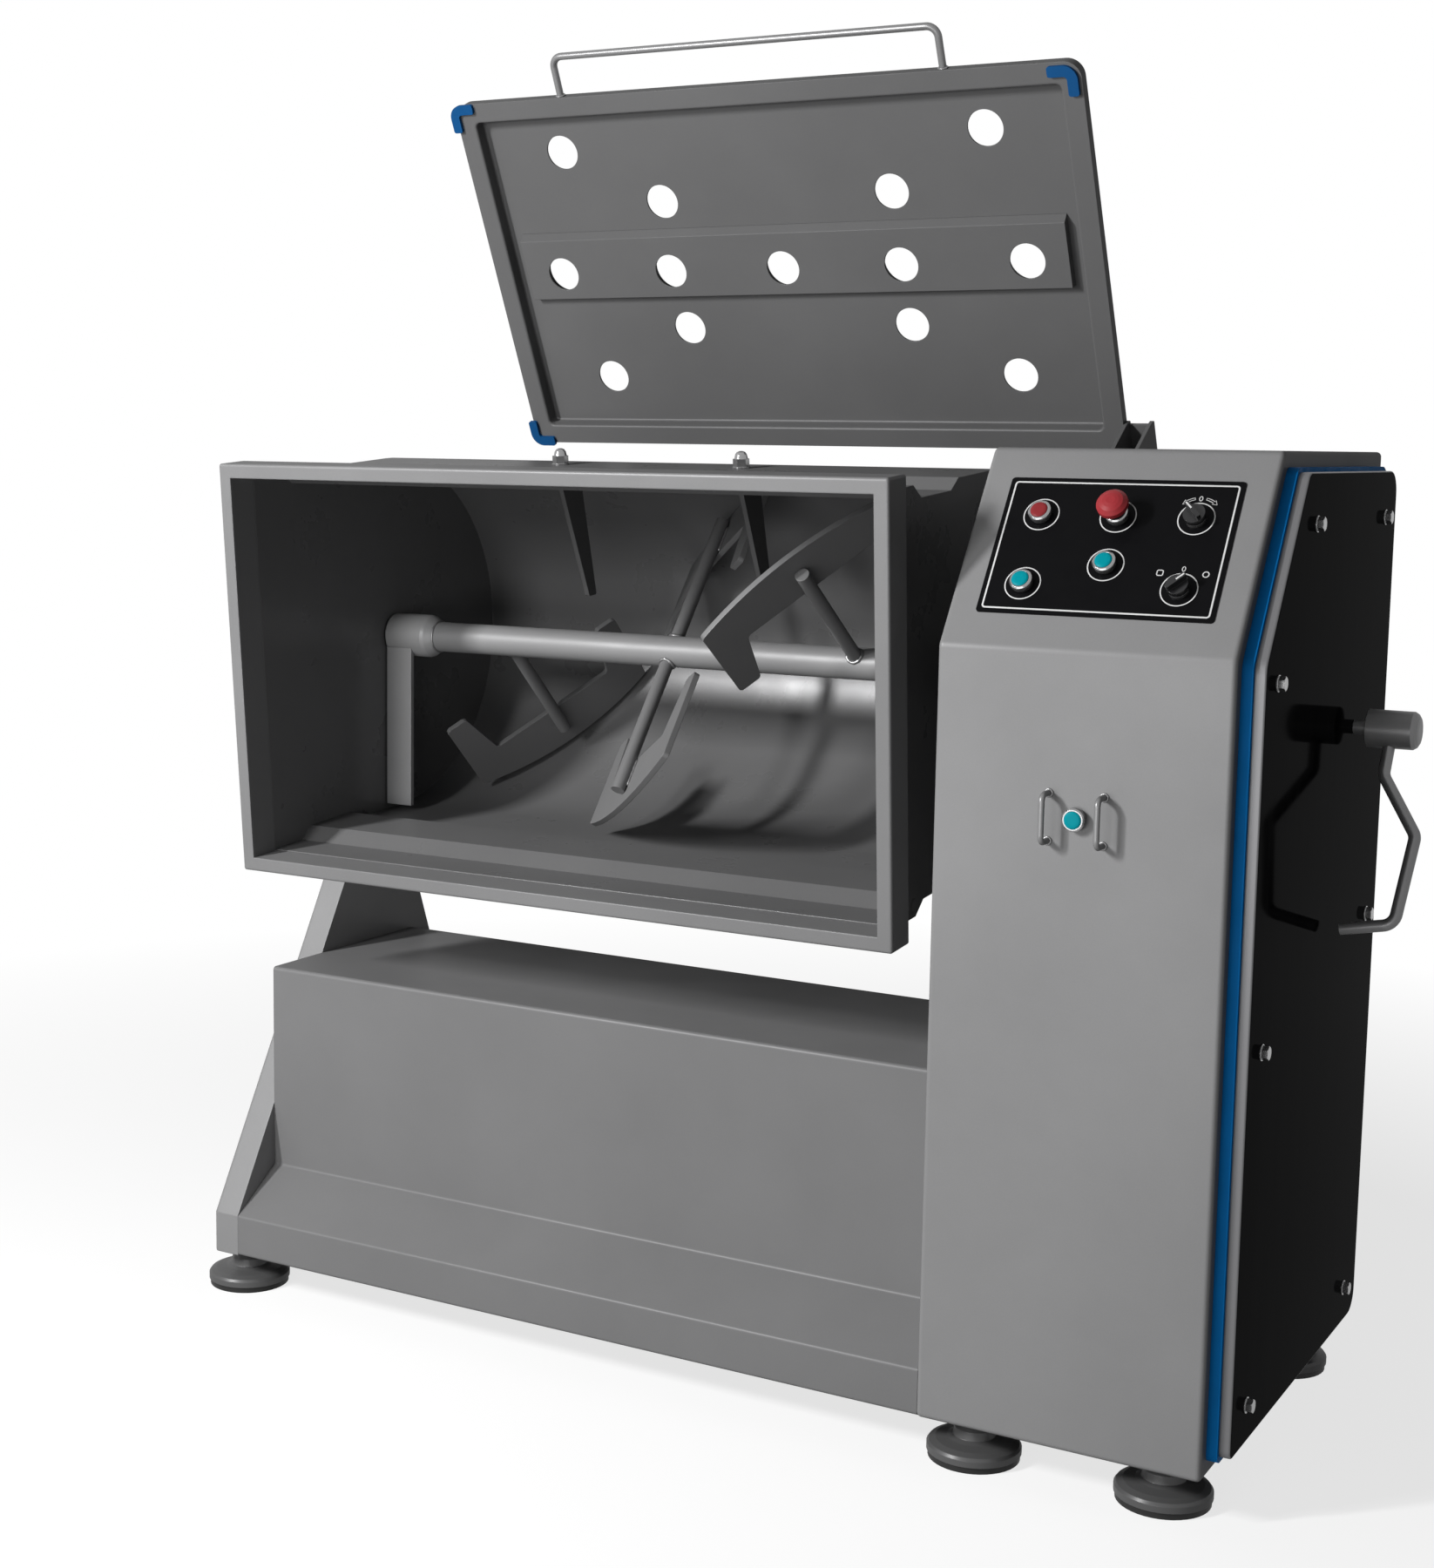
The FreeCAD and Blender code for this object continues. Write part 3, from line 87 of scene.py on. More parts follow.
def ramp(tree, value, low, high, first, last):
    """Maps a value from low..high to first..last, clamped."""
    node = tree.nodes.new("ShaderNodeMapRange")
    node.inputs["From Min"].default_value = low
    node.inputs["From Max"].default_value = high
    node.inputs["To Min"].default_value = first
    node.inputs["To Max"].default_value = last
    tree.links.new(value, node.inputs["Value"])
    return node.outputs["Result"]


def noise_ramp(tree, value, first, last):
    """Maps the useful part of a noise's values to first..last."""
    return ramp(tree, value, NOISE_LOW, NOISE_HIGH, first, last)


def arithmetic(tree, operation, first, second):
    """A math node over two sockets or plain numbers."""
    node = tree.nodes.new("ShaderNodeMath")
    node.operation = operation
    for socket, value in zip(node.inputs, (first, second)):
        if hasattr(value, "links"):
            tree.links.new(value, socket)
        else:
            socket.default_value = value
    return node.outputs[0]


def two_colours(tree, value, first, last):
    """Mixes two colours, each a tuple or a socket, by a value."""
    node = tree.nodes.new("ShaderNodeMix")
    node.data_type = "RGBA"
    tree.links.new(value, node.inputs["Factor"])
    for socket, colour in ((node.inputs["A"], first), (node.inputs["B"], last)):
        if hasattr(colour, "links"):
            tree.links.new(colour, socket)
        else:
            socket.default_value = (*colour, 1)
    return node.outputs["Result"]


def varied(colour, share):
    """A colour's darker and lighter form."""
    return tuple(c * (1 - share) for c in colour), tuple(c * (1 + share) for c in colour)


def bump(tree, height, shader, strength, distance, edge):
    """Fine relief, over edges that are softened by a small radius where one is given."""
    node = tree.nodes.new("ShaderNodeBump")
    node.inputs["Strength"].default_value = strength
    node.inputs["Distance"].default_value = distance
    tree.links.new(height, node.inputs["Height"])
    if edge:
        softened = tree.nodes.new("ShaderNodeBevel")
        softened.samples = 6
        softened.inputs["Radius"].default_value = edge
        tree.links.new(softened.outputs["Normal"], node.inputs["Normal"])
    tree.links.new(node.outputs["Normal"], shader.inputs["Normal"])


# Materials

STEEL_BLUE = 1.01  # how much stronger blue is than red and green
CLOUD_SHARE = 0.75  # of steel's uneven tone; the rest is its fine speckle
SPECK_TO_GRAIN = 0.6  # the speckle's scale against the grain's
STEEL_RELIEF = 0.2 * MM
MOULDED_RELIEF = 0.1 * MM


def steel(name, tone, metallic, rough, grain=(1, 1, 1), grain_scale=900, grain_bump=0.12,
          mottle=0.08, edge=1.5 * MM):
    """Stainless steel: cloudy tone, uneven polish and a fine blasted or brushed grain."""
    material, tree, shader = new_material(name)
    clouds = noise(tree, coordinates(tree), 2.6, 5.0, 0.6)
    speck = noise(tree, coordinates(tree, grain), grain_scale * SPECK_TO_GRAIN, 2.0, 0.6)
    dark, light = varied((tone, tone, tone * STEEL_BLUE), mottle)
    share = arithmetic(tree, "ADD", noise_ramp(tree, clouds, 0, CLOUD_SHARE),
                       noise_ramp(tree, speck, 0, 1 - CLOUD_SHARE))
    tree.links.new(two_colours(tree, share, dark, light), shader.inputs["Base Color"])
    smears = noise(tree, coordinates(tree), 9.0, 4.0, 0.6)
    tree.links.new(noise_ramp(tree, smears, rough * 0.9, rough * 1.1), shader.inputs["Roughness"])
    shader.inputs["Metallic"].default_value = metallic
    shader.inputs["Specular IOR Level"].default_value = 0.0
    fine = noise(tree, coordinates(tree, grain), grain_scale, 2.0, 0.5)
    bump(tree, fine, shader, grain_bump, STEEL_RELIEF, edge)
    return material


def moulded(name, colour, rough, scale=1400, depth=0.1, coat=0.0, variation=0.06, specular=0.5,
            edge=0.5 * MM):
    """Plastic, rubber or enamel with a fine skin texture and a little uneven colour."""
    material, tree, shader = new_material(name)
    clouds = noise(tree, coordinates(tree), 14.0)
    dark, light = varied(colour, variation)
    tree.links.new(two_colours(tree, noise_ramp(tree, clouds, 0, 1), dark, light),
                   shader.inputs["Base Color"])
    wear = noise(tree, coordinates(tree), 40.0)
    tree.links.new(noise_ramp(tree, wear, rough * 0.85, rough * 1.15), shader.inputs["Roughness"])
    shader.inputs["Coat Weight"].default_value = coat
    shader.inputs["Specular IOR Level"].default_value = specular
    bump(tree, noise(tree, coordinates(tree), scale, 2.0), shader, depth, MOULDED_RELIEF, edge)
    return material


# Painted reflection: the cover's flat face is coloured near black to stand in for a dark room
# mirrored in the polished sheet.
COVER_PAINTED_DARK = (0.005, 0.005, 0.006), (0.010, 0.010, 0.011)
COVER_EDGE = (0.17, 0.17, 0.175)
COVER_EDGE_ROUGH = 0.3  # added to the face's own
COVER_IOR = 1.015  # close to 1: the pale room is hardly mirrored


def polished_cover():
    """A polished sheet whose flat face is painted near black, a painted dark reflection; its folded
    edges look plain satin.
    """
    material, tree, shader = new_material("polished_cover_painted_dark_steel")
    place = tree.nodes.new("ShaderNodeNewGeometry")
    parts = tree.nodes.new("ShaderNodeSeparateXYZ")
    tree.links.new(place.outputs["True Normal"], parts.inputs[0])
    # Faces turned towards +X get the painted dark reflection; the other faces keep the satin edge
    # tone.
    flat = ramp(tree, parts.outputs["X"], 0.75, 0.95, 0, 1)
    smears = noise(tree, coordinates(tree, (1, 3, 0.4)), 5.0, 5.0, 0.6)
    face = two_colours(tree, ramp(tree, smears, 0.35, 0.7, 0, 1), *COVER_PAINTED_DARK)
    tree.links.new(two_colours(tree, flat, COVER_EDGE, face), shader.inputs["Base Color"])
    polish = noise_ramp(tree, smears, 0.05, 0.10)
    rough = arithmetic(tree, "ADD", polish, ramp(tree, flat, 0, 1, COVER_EDGE_ROUGH, 0))
    tree.links.new(rough, shader.inputs["Roughness"])
    tree.links.new(ramp(tree, flat, 0, 1, 0.5, 0.0), shader.inputs["Metallic"])
    shader.inputs["IOR"].default_value = COVER_IOR
    return material


# Each steel: name, tone, metallic share, roughness. The sheet steel is one finish: the darker tones
# of the base, lid, trough and flange are painted shade, and the lighter tone of the hub and wiper
# is painted light.
satin = steel("satin_steel", 0.24, 0.11, 0.38, edge=2.5 * MM)
# Painted shade: darker copies of the sheet steel for the base, lid, trough and flange.
base_shaded_satin = steel("base_satin_steel", 0.18, 0.11, 0.38, edge=2.5 * MM)
lid_shaded_satin = steel("lid_satin_steel", 0.145, 0.16, 0.42)
trough_shaded_satin = steel("trough_shaded_satin_steel", 0.165, 0.25, 0.29)
rim_shaded_satin = steel("rim_satin_steel", 0.20, 0.16, 0.36, edge=3 * MM)
blade_satin = steel("blade_satin_steel", 0.19, 0.22, 0.38)
knife_satin = steel("knife_satin_steel", 0.11, 0.16, 0.40)
foot_satin = steel("foot_satin_steel", 0.11, 0.30, 0.34)
shaft_satin = steel("shaft_satin_steel", 0.26, 0.2, 0.46, grain=(8, 1, 1))
# Painted light: a lighter copy of the sheet steel for the hub and wiper.
hub_lit_satin = steel("hub_satin_steel", 0.36, 0.2, 0.46)
painted_dark_cover = polished_cover()
bar_satin = steel("bar_satin_steel", 0.24, 0.45, 0.36, grain_scale=500, grain_bump=0.02,
                  mottle=0.06, edge=0)
bright = steel("bright_steel", 0.30, 0.85, 0.22, grain_scale=500, grain_bump=0.03, mottle=0.15,
               edge=0.5 * MM)
machined = steel("machined_steel", 0.33, 0.8, 0.34, grain=(1, 8, 8), grain_scale=400)
weld = steel("weld_steel", 0.30, 0.6, 0.34, grain_scale=260, grain_bump=0.4, mottle=0.3, edge=0)

# Each plastic, rubber or paint: name, colour, roughness.
# Painted light: the gasket's blue is raised to stand in for light that its side-facing face does
# not get.
gasket_painted_light_rubber = moulded("gasket_painted_light_rubber", (0.004, 0.165, 0.48), 0.6, scale=900, depth=0.25,
                        specular=0.04)
blue_rubber = moulded("blue_rubber", (0.0025, 0.070, 0.215), 0.6, scale=900, depth=0.25,
                      specular=0.15)
black_rubber = moulded("black_rubber", (0.012, 0.012, 0.012), 0.6, scale=700, depth=0.3,
                       specular=0.3)
foil = moulded("panel_foil", (0.003, 0.003, 0.0035), 0.46, depth=0.06, specular=0.04)
black_plastic = moulded("black_plastic", (0.008, 0.008, 0.009), 0.3, coat=0.1, specular=0.4)
red_plastic = moulded("red_plastic", (0.31, 0.028, 0.034), 0.42, specular=0.15)
teal_lens = moulded("teal_lens", (0.001, 0.25, 0.30), 0.34, specular=0.06)
red_lens = moulded("red_lens", (0.25, 0.030, 0.034), 0.34, specular=0.06)
white_plastic = moulded("white_plastic", (0.72, 0.72, 0.69), 0.4)
grey_enamel = moulded("grey_enamel", (0.12, 0.13, 0.14), 0.4, coat=0.2)
motor_alloy = moulded("motor_alloy", (0.30, 0.31, 0.32), 0.5, scale=500, depth=0.3)
print_ink = moulded("print_ink", (0.66, 0.66, 0.66), 0.5, specular=0.2, edge=0)

finishes = {
    base_shaded_satin: ("base_housing",),
    satin: ("cabinet_shell", "left_column", "left_bearing", "bearing_cap", "hinge_bearings"),
    foot_satin: ("foot_discs",),
    knife_satin: ("knives",),
    lid_shaded_satin: ("lid_pan", "lid_channel", "lid_arm"),
    trough_shaded_satin: ("trough_shell", "left_trunnion", "right_trunnion"),
    rim_shaded_satin: ("trough_flange",),
    blade_satin: ("paddle_left", "paddle_middle_upper", "paddle_middle_lower", "paddle_right",
                  "paddle_spokes"),
    shaft_satin: ("mixing_shaft",),
    hub_lit_satin: ("shaft_hub", "end_wiper"),
    painted_dark_cover: ("side_cover",),
    bright: ("cover_bolts", "cover_spacers", "control_bezels", "foot_stems", "knife_nuts",
             "hinge_shaft"),
    bar_satin: ("lid_handle", "lever_rod", "lever_boss", "button_guards"),
    machined: ("right_bearing", "tilt_sector", "tilt_pinion", "drive_plate", "lever_catch"),
    gasket_painted_light_rubber: ("side_gasket",),
    blue_rubber: ("lid_pads",),
    black_rubber: ("foot_pads",),
    foil: ("control_overlay",),
    black_plastic: ("switch_contacts", "emergency_stem", "direction_selector", "mode_selector",
                    "switchgear", "cable_gland"),
    red_plastic: ("emergency_mushroom",),
    red_lens: ("stop_button",),
    teal_lens: ("manual_button", "start_button", "tilt_button"),
    white_plastic: ("shaft_seals", "shaft_bushes"),
    grey_enamel: ("mixer_gearbox", "tilt_gearbox"),
    motor_alloy: ("mixer_motor", "tilt_motor"),
}


def dress(obj, material):
    """Gives an object one material."""
    obj.data.materials.clear()
    obj.data.materials.append(material)


for finish, names in finishes.items():
    for node in names:
        dress(nodes[node], finish)


# Building pieces


def piece(name, mesh, material, body, smooth=True):
    """Links a mesh as a piece that rides on a body."""
    bmesh.ops.recalc_face_normals(mesh, faces=mesh.faces)
    data = bpy.data.meshes.new(name)
    mesh.to_mesh(data)
    mesh.free()
    if smooth:
        data.shade_smooth()
    obj = bpy.data.objects.new(name, data)
    bpy.context.scene.collection.objects.link(obj)
    dress(obj, material)
    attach(obj, body)


def frame_of(point, out, up):
    """A matrix with its Z along out and its Y along up, at the point."""
    across = up.cross(out).normalized()
    up = out.cross(across).normalized()
    return Matrix.Translation(point) @ Matrix((across, up, out)).transposed().to_4x4()


def neighbours(path, i, closed):
    """The points before and after one of a path; an open path's ends stand for themselves."""
    before = path[i - 1] if closed or i else path[i]
    after = path[(i + 1) % len(path)] if closed or i < len(path) - 1 else path[i]
    return before, after


def add_tube(mesh, rings, closed):
    """Joins rings of points into one closed skin, with end faces where the run is open."""
    size = len(rings[0])
    for i in range(len(rings) if closed else len(rings) - 1):
        first, second = rings[i], rings[(i + 1) % len(rings)]
        for k in range(size):
            j = (k + 1) % size
            mesh.faces.new((first[k], first[j], second[j], second[k]))
    if not closed:
        mesh.faces.new(rings[0])
        mesh.faces.new(list(reversed(rings[-1])))


def add_band(mesh, path, half, low, high, closed=True):
    """A flat printed line of a given half width along a path on the panel."""
    corners = []
    for i, point in enumerate(path):
        before, after = neighbours(path, i, closed)
        run = Vector(after) - Vector(before)
        side = Vector((-run.y, run.x)).normalized() * half
        here = Vector(point)
        corners.append([mesh.verts.new(panel_frame @ Vector((*(here + side * s), z)))
                        for s, z in ((-1, low), (1, low), (1, high), (-1, high))])
    add_tube(mesh, corners, closed)


def on_arc(centre, radius, angle):
    """A point at an angle in degrees."""
    return (centre[0] + radius * cos(radians(angle)), centre[1] + radius * sin(radians(angle)))


def arc(centre, radius, start, end, steps):
    """Points on an arc, its angles in degrees."""
    return [on_arc(centre, radius, start + (end - start) * i / steps) for i in range(steps + 1)]


def rounded_rectangle(left, low, right, high, radius, steps=6):
    """Points round a rectangle with round corners."""
    points = []
    for cx, cy, start in ((right - radius, high - radius, 0), (left + radius, high - radius, 90),
                          (left + radius, low + radius, 180), (right - radius, low + radius, 270)):
        points += arc((cx, cy), radius, start, start + 90, steps)
    return points


RIPPLE_TURN = 2.1  # radians of ripple from one ring of a bead to the next
BEAD_END = 0.5  # an open bead's end radius against its own


def add_bead(mesh, path, radius, closed=True, sides=8, ripple=0.16):
    """A weld bead along a path of points, its surface rippled by the passes of the torch."""
    rings = []
    for i, point in enumerate(path):
        before, after = neighbours(path, i, closed)
        run = (after - before).normalized()
        side = (side - run * side.dot(run) if rings else run.orthogonal()).normalized()
        across = run.cross(side)
        at_end = not closed and i in (0, len(path) - 1)
        r = radius * (1 + ripple * sin(i * RIPPLE_TURN)) * (BEAD_END if at_end else 1)
        rings.append([mesh.verts.new(point + (side * cos(2 * pi * k / sides)
                                              + across * sin(2 * pi * k / sides)) * r)
                      for k in range(sides)])
    add_tube(mesh, rings, closed)


def circle(centre, out, radius, count):
    """Points round a circle about an axis."""
    side = out.orthogonal().normalized()
    across = out.cross(side)
    return [centre + (side * cos(2 * pi * i / count) + across * sin(2 * pi * i / count)) * radius
            for i in range(count)]


# Printing on the control panel: plain rings, a border line and a few generic marks

PRINT_STAND = 0.15 * MM
PRINT_THICK = 0.1 * MM
PRINT_LOW, PRINT_HIGH = PRINT_STAND, PRINT_STAND + PRINT_THICK
RING_RADIUS = 24 * MM
RING_HALF = 0.8 * MM
BORDER_INSET = 7.5 * MM
BORDER_HALF = 1.15 * MM
BORDER_ROUND = 4 * MM
MARK_HALF = 0.7 * MM
ARROW_RADIUS = 31.5 * MM
ARROW_HALF = 0.42 * MM
ARROW_BODY = 1.5 * MM  # from the arrow's middle line to its edge
ARROW_BARB = 3.6 * MM
ARROW_HEAD = 11  # degrees
ZERO_HEIGHT = 31 * MM  # over its selector's middle
ZERO_HALF = 0.55 * MM
ZERO_SIZE = (2.1 * MM, 3.4 * MM)
SIDE_MARK = (30 * MM, 24 * MM)  # the small ring and square, from the selector's middle
SIDE_MARK_HALF_SIZE = 4 * MM
SELECTOR_TOP = 24 * MM
SELECTOR_REACH = 14.5 * MM
SELECTOR_INNER = 2 * MM
POINTER_HALF = 1.1 * MM

overlay_rise = OVERLAY_THICK * sin(PANEL_ANGLE)
overlay_low, overlay_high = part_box("control_overlay")
overlay_front = overlay_low + Vector((0, 0, overlay_rise))
overlay_width = overlay_high.x - overlay_low.x
overlay_length = (overlay_high.z - overlay_low.z - overlay_rise) / cos(PANEL_ANGLE)
panel_frame = frame_of(overlay_front, panel_out, panel_up)

# Across and up the panel from its lower left corner
CONTROL_PLACES = {
    "stop_button": (55 * MM, 153.5 * MM), "emergency": (161 * MM, 153.5 * MM),
    "direction": (265.5 * MM, 153.5 * MM), "manual_button": (161 * MM, 79 * MM),
    "start_button": (55 * MM, 46 * MM), "mode": (265.5 * MM, 46.5 * MM),
}


def add_print(mesh, path, half):
    """A closed printed line on the panel."""
    add_band(mesh, path, half, PRINT_LOW, PRINT_HIGH)


def add_arrow(mesh, centre, start, end):
    """The outline of a curved arrow, its head beyond the end angle."""
    head = end + (ARROW_HEAD if end > start else -ARROW_HEAD)
    outline = (arc(centre, ARROW_RADIUS + ARROW_BODY, start, end, 5)
               + [on_arc(centre, ARROW_RADIUS + ARROW_BARB, end),
                  on_arc(centre, ARROW_RADIUS, head),
                  on_arc(centre, ARROW_RADIUS - ARROW_BARB, end)]
               + arc(centre, ARROW_RADIUS - ARROW_BODY, end, start, 5))
    add_print(mesh, outline, ARROW_HALF)


def add_zero(mesh, centre):
    """A plain upright oval."""
    oval = [(centre[0] + ZERO_SIZE[0] * cos(radians(a)), centre[1] + ZERO_SIZE[1] * sin(radians(a)))
            for a in range(0, 360, 20)]
    add_print(mesh, oval, ZERO_HALF)


def panel_prints():
    """All the panel's printing, as one piece."""
    mesh = bmesh.new()
    border = rounded_rectangle(BORDER_INSET, BORDER_INSET, overlay_width - BORDER_INSET,
                               overlay_length - BORDER_INSET, BORDER_ROUND)
    add_print(mesh, border, BORDER_HALF)
    for place in CONTROL_PLACES.values():
        add_print(mesh, arc(place, RING_RADIUS, 0, 352.5, 47), RING_HALF)
    for node in ("direction", "mode"):
        x, y = CONTROL_PLACES[node]
        add_zero(mesh, (x, y + ZERO_HEIGHT))
    for start, end in ((104, 125), (76, 55)):
        add_arrow(mesh, CONTROL_PLACES["direction"], start, end)
    x, y = CONTROL_PLACES["mode"]
    mark_x, mark_y = SIDE_MARK
    size = SIDE_MARK_HALF_SIZE
    add_print(mesh, rounded_rectangle(x - mark_x - size, y + mark_y - size, x - mark_x + size,
                                      y + mark_y + size, size / 2, 3), MARK_HALF)
    add_print(mesh, arc((x + mark_x, y + mark_y), size, 0, 340, 17), MARK_HALF)
    piece("panel_prints", mesh, print_ink, "frame", smooth=False)


def selector_pointer(name, body, angle):
    """The white line along a selector's grip bar."""
    mesh = bmesh.new()
    ends = [on_arc(CONTROL_PLACES[body], r, 90 + angle) for r in (SELECTOR_INNER, SELECTOR_REACH)]
    low = SELECTOR_TOP + PRINT_STAND / 3
    add_band(mesh, ends, POINTER_HALF, low, low + PRINT_THICK, closed=False)
    piece(name, mesh, print_ink, body, smooth=False)


# Welds

SHAFT_RADIUS = 25 * MM
SPOKE_RADIUS = 11 * MM
PADDLE_INNER = 200 * MM
ROOT_STAND = 1.2 * MM  # a spoke's weld stands this far off both surfaces
ROOT_BEAD = 2.6 * MM
BLADE_BEAD = 2.2 * MM
BLADE_BEAD_OFFSET = 7.2 * MM
BLADE_BEAD_SINK = 1.2 * MM
BLADE_BEAD_MARGINS = (3 * MM, 4 * MM)
SPOKE_END = 255 * MM
# Each paddle: distance right of the cabinet's left side, angle round the shaft, twist on the
# spoke, the blade's side of the spoke, and its reach from the shaft's axis (mm and degrees)
PADDLES = ((-940, -42.5, 50, -1, 241), (-627, 51.2, 45, 1, 262), (-627, -128.8, -45, -1, 262),
           (-295.5, 145, -48, 1, 252))

shaft_axis = sum(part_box("mixing_shaft"), Vector()) / 2


def round_spoke(start, radial, tangent):
    """Points where a spoke's surface meets the shaft's."""
    points = []
    for turn in (2 * pi * i / 28 for i in range(28)):
        u = (SPOKE_RADIUS + ROOT_STAND) * cos(turn)
        v = (SPOKE_RADIUS + ROOT_STAND) * sin(turn)
        points.append(start + along_x * u + tangent * v
                      + radial * (sqrt(SHAFT_RADIUS ** 2 - v * v) + ROOT_STAND))
    return points


def spoke_welds():
    """Beads where each spoke meets the shaft, and along both sides of it on its blade."""
    mesh = bmesh.new()
    for x, angle, twist, side, reach in PADDLES:
        turn, lean = radians(angle), radians(twist)
        radial = Vector((0, cos(turn), sin(turn)))
        tangent = Vector((0, -sin(turn), cos(turn)))
        along = along_x * cos(lean) + tangent * sin(lean)
        normal = radial.cross(along) * side
        start = Vector((cabinet_corner.x + x * MM, shaft_axis.y, shaft_axis.z))
        add_bead(mesh, round_spoke(start, radial, tangent), ROOT_BEAD)
        first = PADDLE_INNER + BLADE_BEAD_MARGINS[0]
        last = min(reach * MM, SPOKE_END) - BLADE_BEAD_MARGINS[1]
        for way in (-1, 1):
            offset = along * (way * BLADE_BEAD_OFFSET) + normal * (SPOKE_RADIUS - BLADE_BEAD_SINK)
            run = [start + radial * (first + (last - first) * i / 12) + offset for i in range(13)]
            add_bead(mesh, run, BLADE_BEAD, closed=False)
    piece("spoke_welds", mesh, weld, "mixer")


HUB_WELD_INSET = 0.5 * MM
HUB_WELD_STAND = 0.6 * MM
HUB_BEAD = 2 * MM


def hub_weld():
    """The weld round the shaft at the hub's right end."""
    mesh = bmesh.new()
    centre = Vector((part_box("shaft_hub")[1].x - HUB_WELD_INSET, shaft_axis.y, shaft_axis.z))
    add_bead(mesh, circle(centre, along_x, SHAFT_RADIUS + HUB_WELD_STAND, 48), HUB_BEAD, ripple=0.1)
    piece("hub_end_weld", mesh, weld, "mixer")


LID_ANGLE = radians(64.1)
WELD_STAND = 0.8 * MM  # a bar's weld stands this far out from it
HANDLE_RADIUS = 6 * MM
HANDLE_WELD_RISE = 1.2 * MM
HANDLE_BEAD = 1.8 * MM
FOOT_DEPTH = 0.2 * MM  # vertices this close to the lowest belong to the bar's end face


def handle_welds():
    """Beads where the lid's bar handle meets the lid's edge."""
    mesh = bmesh.new()
    low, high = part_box("lid_handle")
    out = Vector((0, -cos(LID_ANGLE), sin(LID_ANGLE)))
    for x in (low.x + HANDLE_RADIUS, high.x - HANDLE_RADIUS):
        leg = [v.co for v in nodes["lid_handle"].data.vertices
               if abs(v.co.x - x) < HANDLE_RADIUS * 1.05]
        lowest = min(co.dot(out) for co in leg)
        foot = [co for co in leg if abs(co.dot(out) - lowest) < FOOT_DEPTH]
        centre = sum(foot, Vector()) / len(foot) + out * HANDLE_WELD_RISE
        add_bead(mesh, circle(centre, out, HANDLE_RADIUS + WELD_STAND, 20), HANDLE_BEAD)
    piece("handle_welds", mesh, weld, "lid")


GUARD_RADIUS = 4 * MM
GUARD_WELD_RISE = 1 * MM
GUARD_BEAD = 1.4 * MM


def guard_welds():
    """Beads at the feet of the two guard loops."""
    mesh = bmesh.new()
    low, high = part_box("button_guards")
    for x in (low.x + GUARD_RADIUS, high.x - GUARD_RADIUS):
        for z in (low.z + GUARD_RADIUS, high.z - GUARD_RADIUS):
            foot = Vector((x, cabinet_corner.y - GUARD_WELD_RISE, z))
            add_bead(mesh, circle(foot, forward, GUARD_RADIUS + WELD_STAND, 16), GUARD_BEAD)
    piece("guard_welds", mesh, weld, "frame")


RIM_RADIUS = 11.75 * MM
RIM_HEIGHT = 12.2 * MM
RIM_THICK = 0.22 * MM


def lens_rims():
    """Dark rings between the push-buttons' caps and their bright bezels."""
    mesh = bmesh.new()
    for node in ("stop_button", "manual_button", "start_button"):
        centre = panel_frame @ Vector((*CONTROL_PLACES[node], RIM_HEIGHT))
        add_bead(mesh, circle(centre, panel_out, RIM_RADIUS, 40), RIM_THICK, ripple=0, sides=6)
    piece("lens_rims", mesh, black_rubber, "frame")


panel_prints()
selector_pointer("direction_pointer", "direction", 45)
selector_pointer("mode_pointer", "mode", -45)
spoke_welds()
hub_weld()
guard_welds()
handle_welds()
lens_rims()

# Floor, light and camera

FLOOR_HALF = 60.0
FLOOR_CLEAR = 1.3  # the floor is plain up to here, and white from FLOOR_FADE on
FLOOR_FADE = 3.2
FLOOR_TONE = 0.30
FLOOR_GLOW = 0.74
WORLD_FILL = 0.045


def make_floor():
    """A pale floor that keeps the shadow near the machine and turns plain white further off."""
    mesh = bmesh.new()
    bmesh.ops.create_grid(mesh, x_segments=1, y_segments=1, size=FLOOR_HALF)
    data = bpy.data.meshes.new("floor")
    mesh.to_mesh(data)
    mesh.free()
    floor = bpy.data.objects.new("floor", data)
    bpy.context.scene.collection.objects.link(floor)
    material, tree, shader = new_material("pale_floor")
    shader.inputs["Base Color"].default_value = (FLOOR_TONE, FLOOR_TONE, FLOOR_TONE, 1)
    shader.inputs["Roughness"].default_value = 0.9
    shader.inputs["Specular IOR Level"].default_value = 0.0
    place = tree.nodes.new("ShaderNodeNewGeometry")
    distance = tree.nodes.new("ShaderNodeVectorMath")
    distance.operation = "LENGTH"
    tree.links.new(place.outputs["Position"], distance.inputs[0])
    far = ramp(tree, distance.outputs["Value"], FLOOR_CLEAR, FLOOR_FADE, 0, 1)
    rays = tree.nodes.new("ShaderNodeLightPath")
    seen = arithmetic(tree, "MAXIMUM", rays.outputs["Is Camera Ray"],
                      rays.outputs["Is Glossy Ray"])
    glow = tree.nodes.new("ShaderNodeEmission")
    tree.links.new(arithmetic(tree, "MULTIPLY", seen, FLOOR_GLOW), glow.inputs["Strength"])
    near = tree.nodes.new("ShaderNodeAddShader")
    tree.links.new(shader.outputs["BSDF"], near.inputs[0])
    tree.links.new(glow.outputs["Emission"], near.inputs[1])
    white = tree.nodes.new("ShaderNodeEmission")
    mix = tree.nodes.new("ShaderNodeMixShader")
    tree.links.new(arithmetic(tree, "MULTIPLY", seen, far), mix.inputs["Fac"])
    tree.links.new(near.outputs[0], mix.inputs[1])
    tree.links.new(white.outputs["Emission"], mix.inputs[2])
    tree.links.new(mix.outputs["Shader"], tree.nodes["Material Output"].inputs["Surface"])
    dress(floor, material)


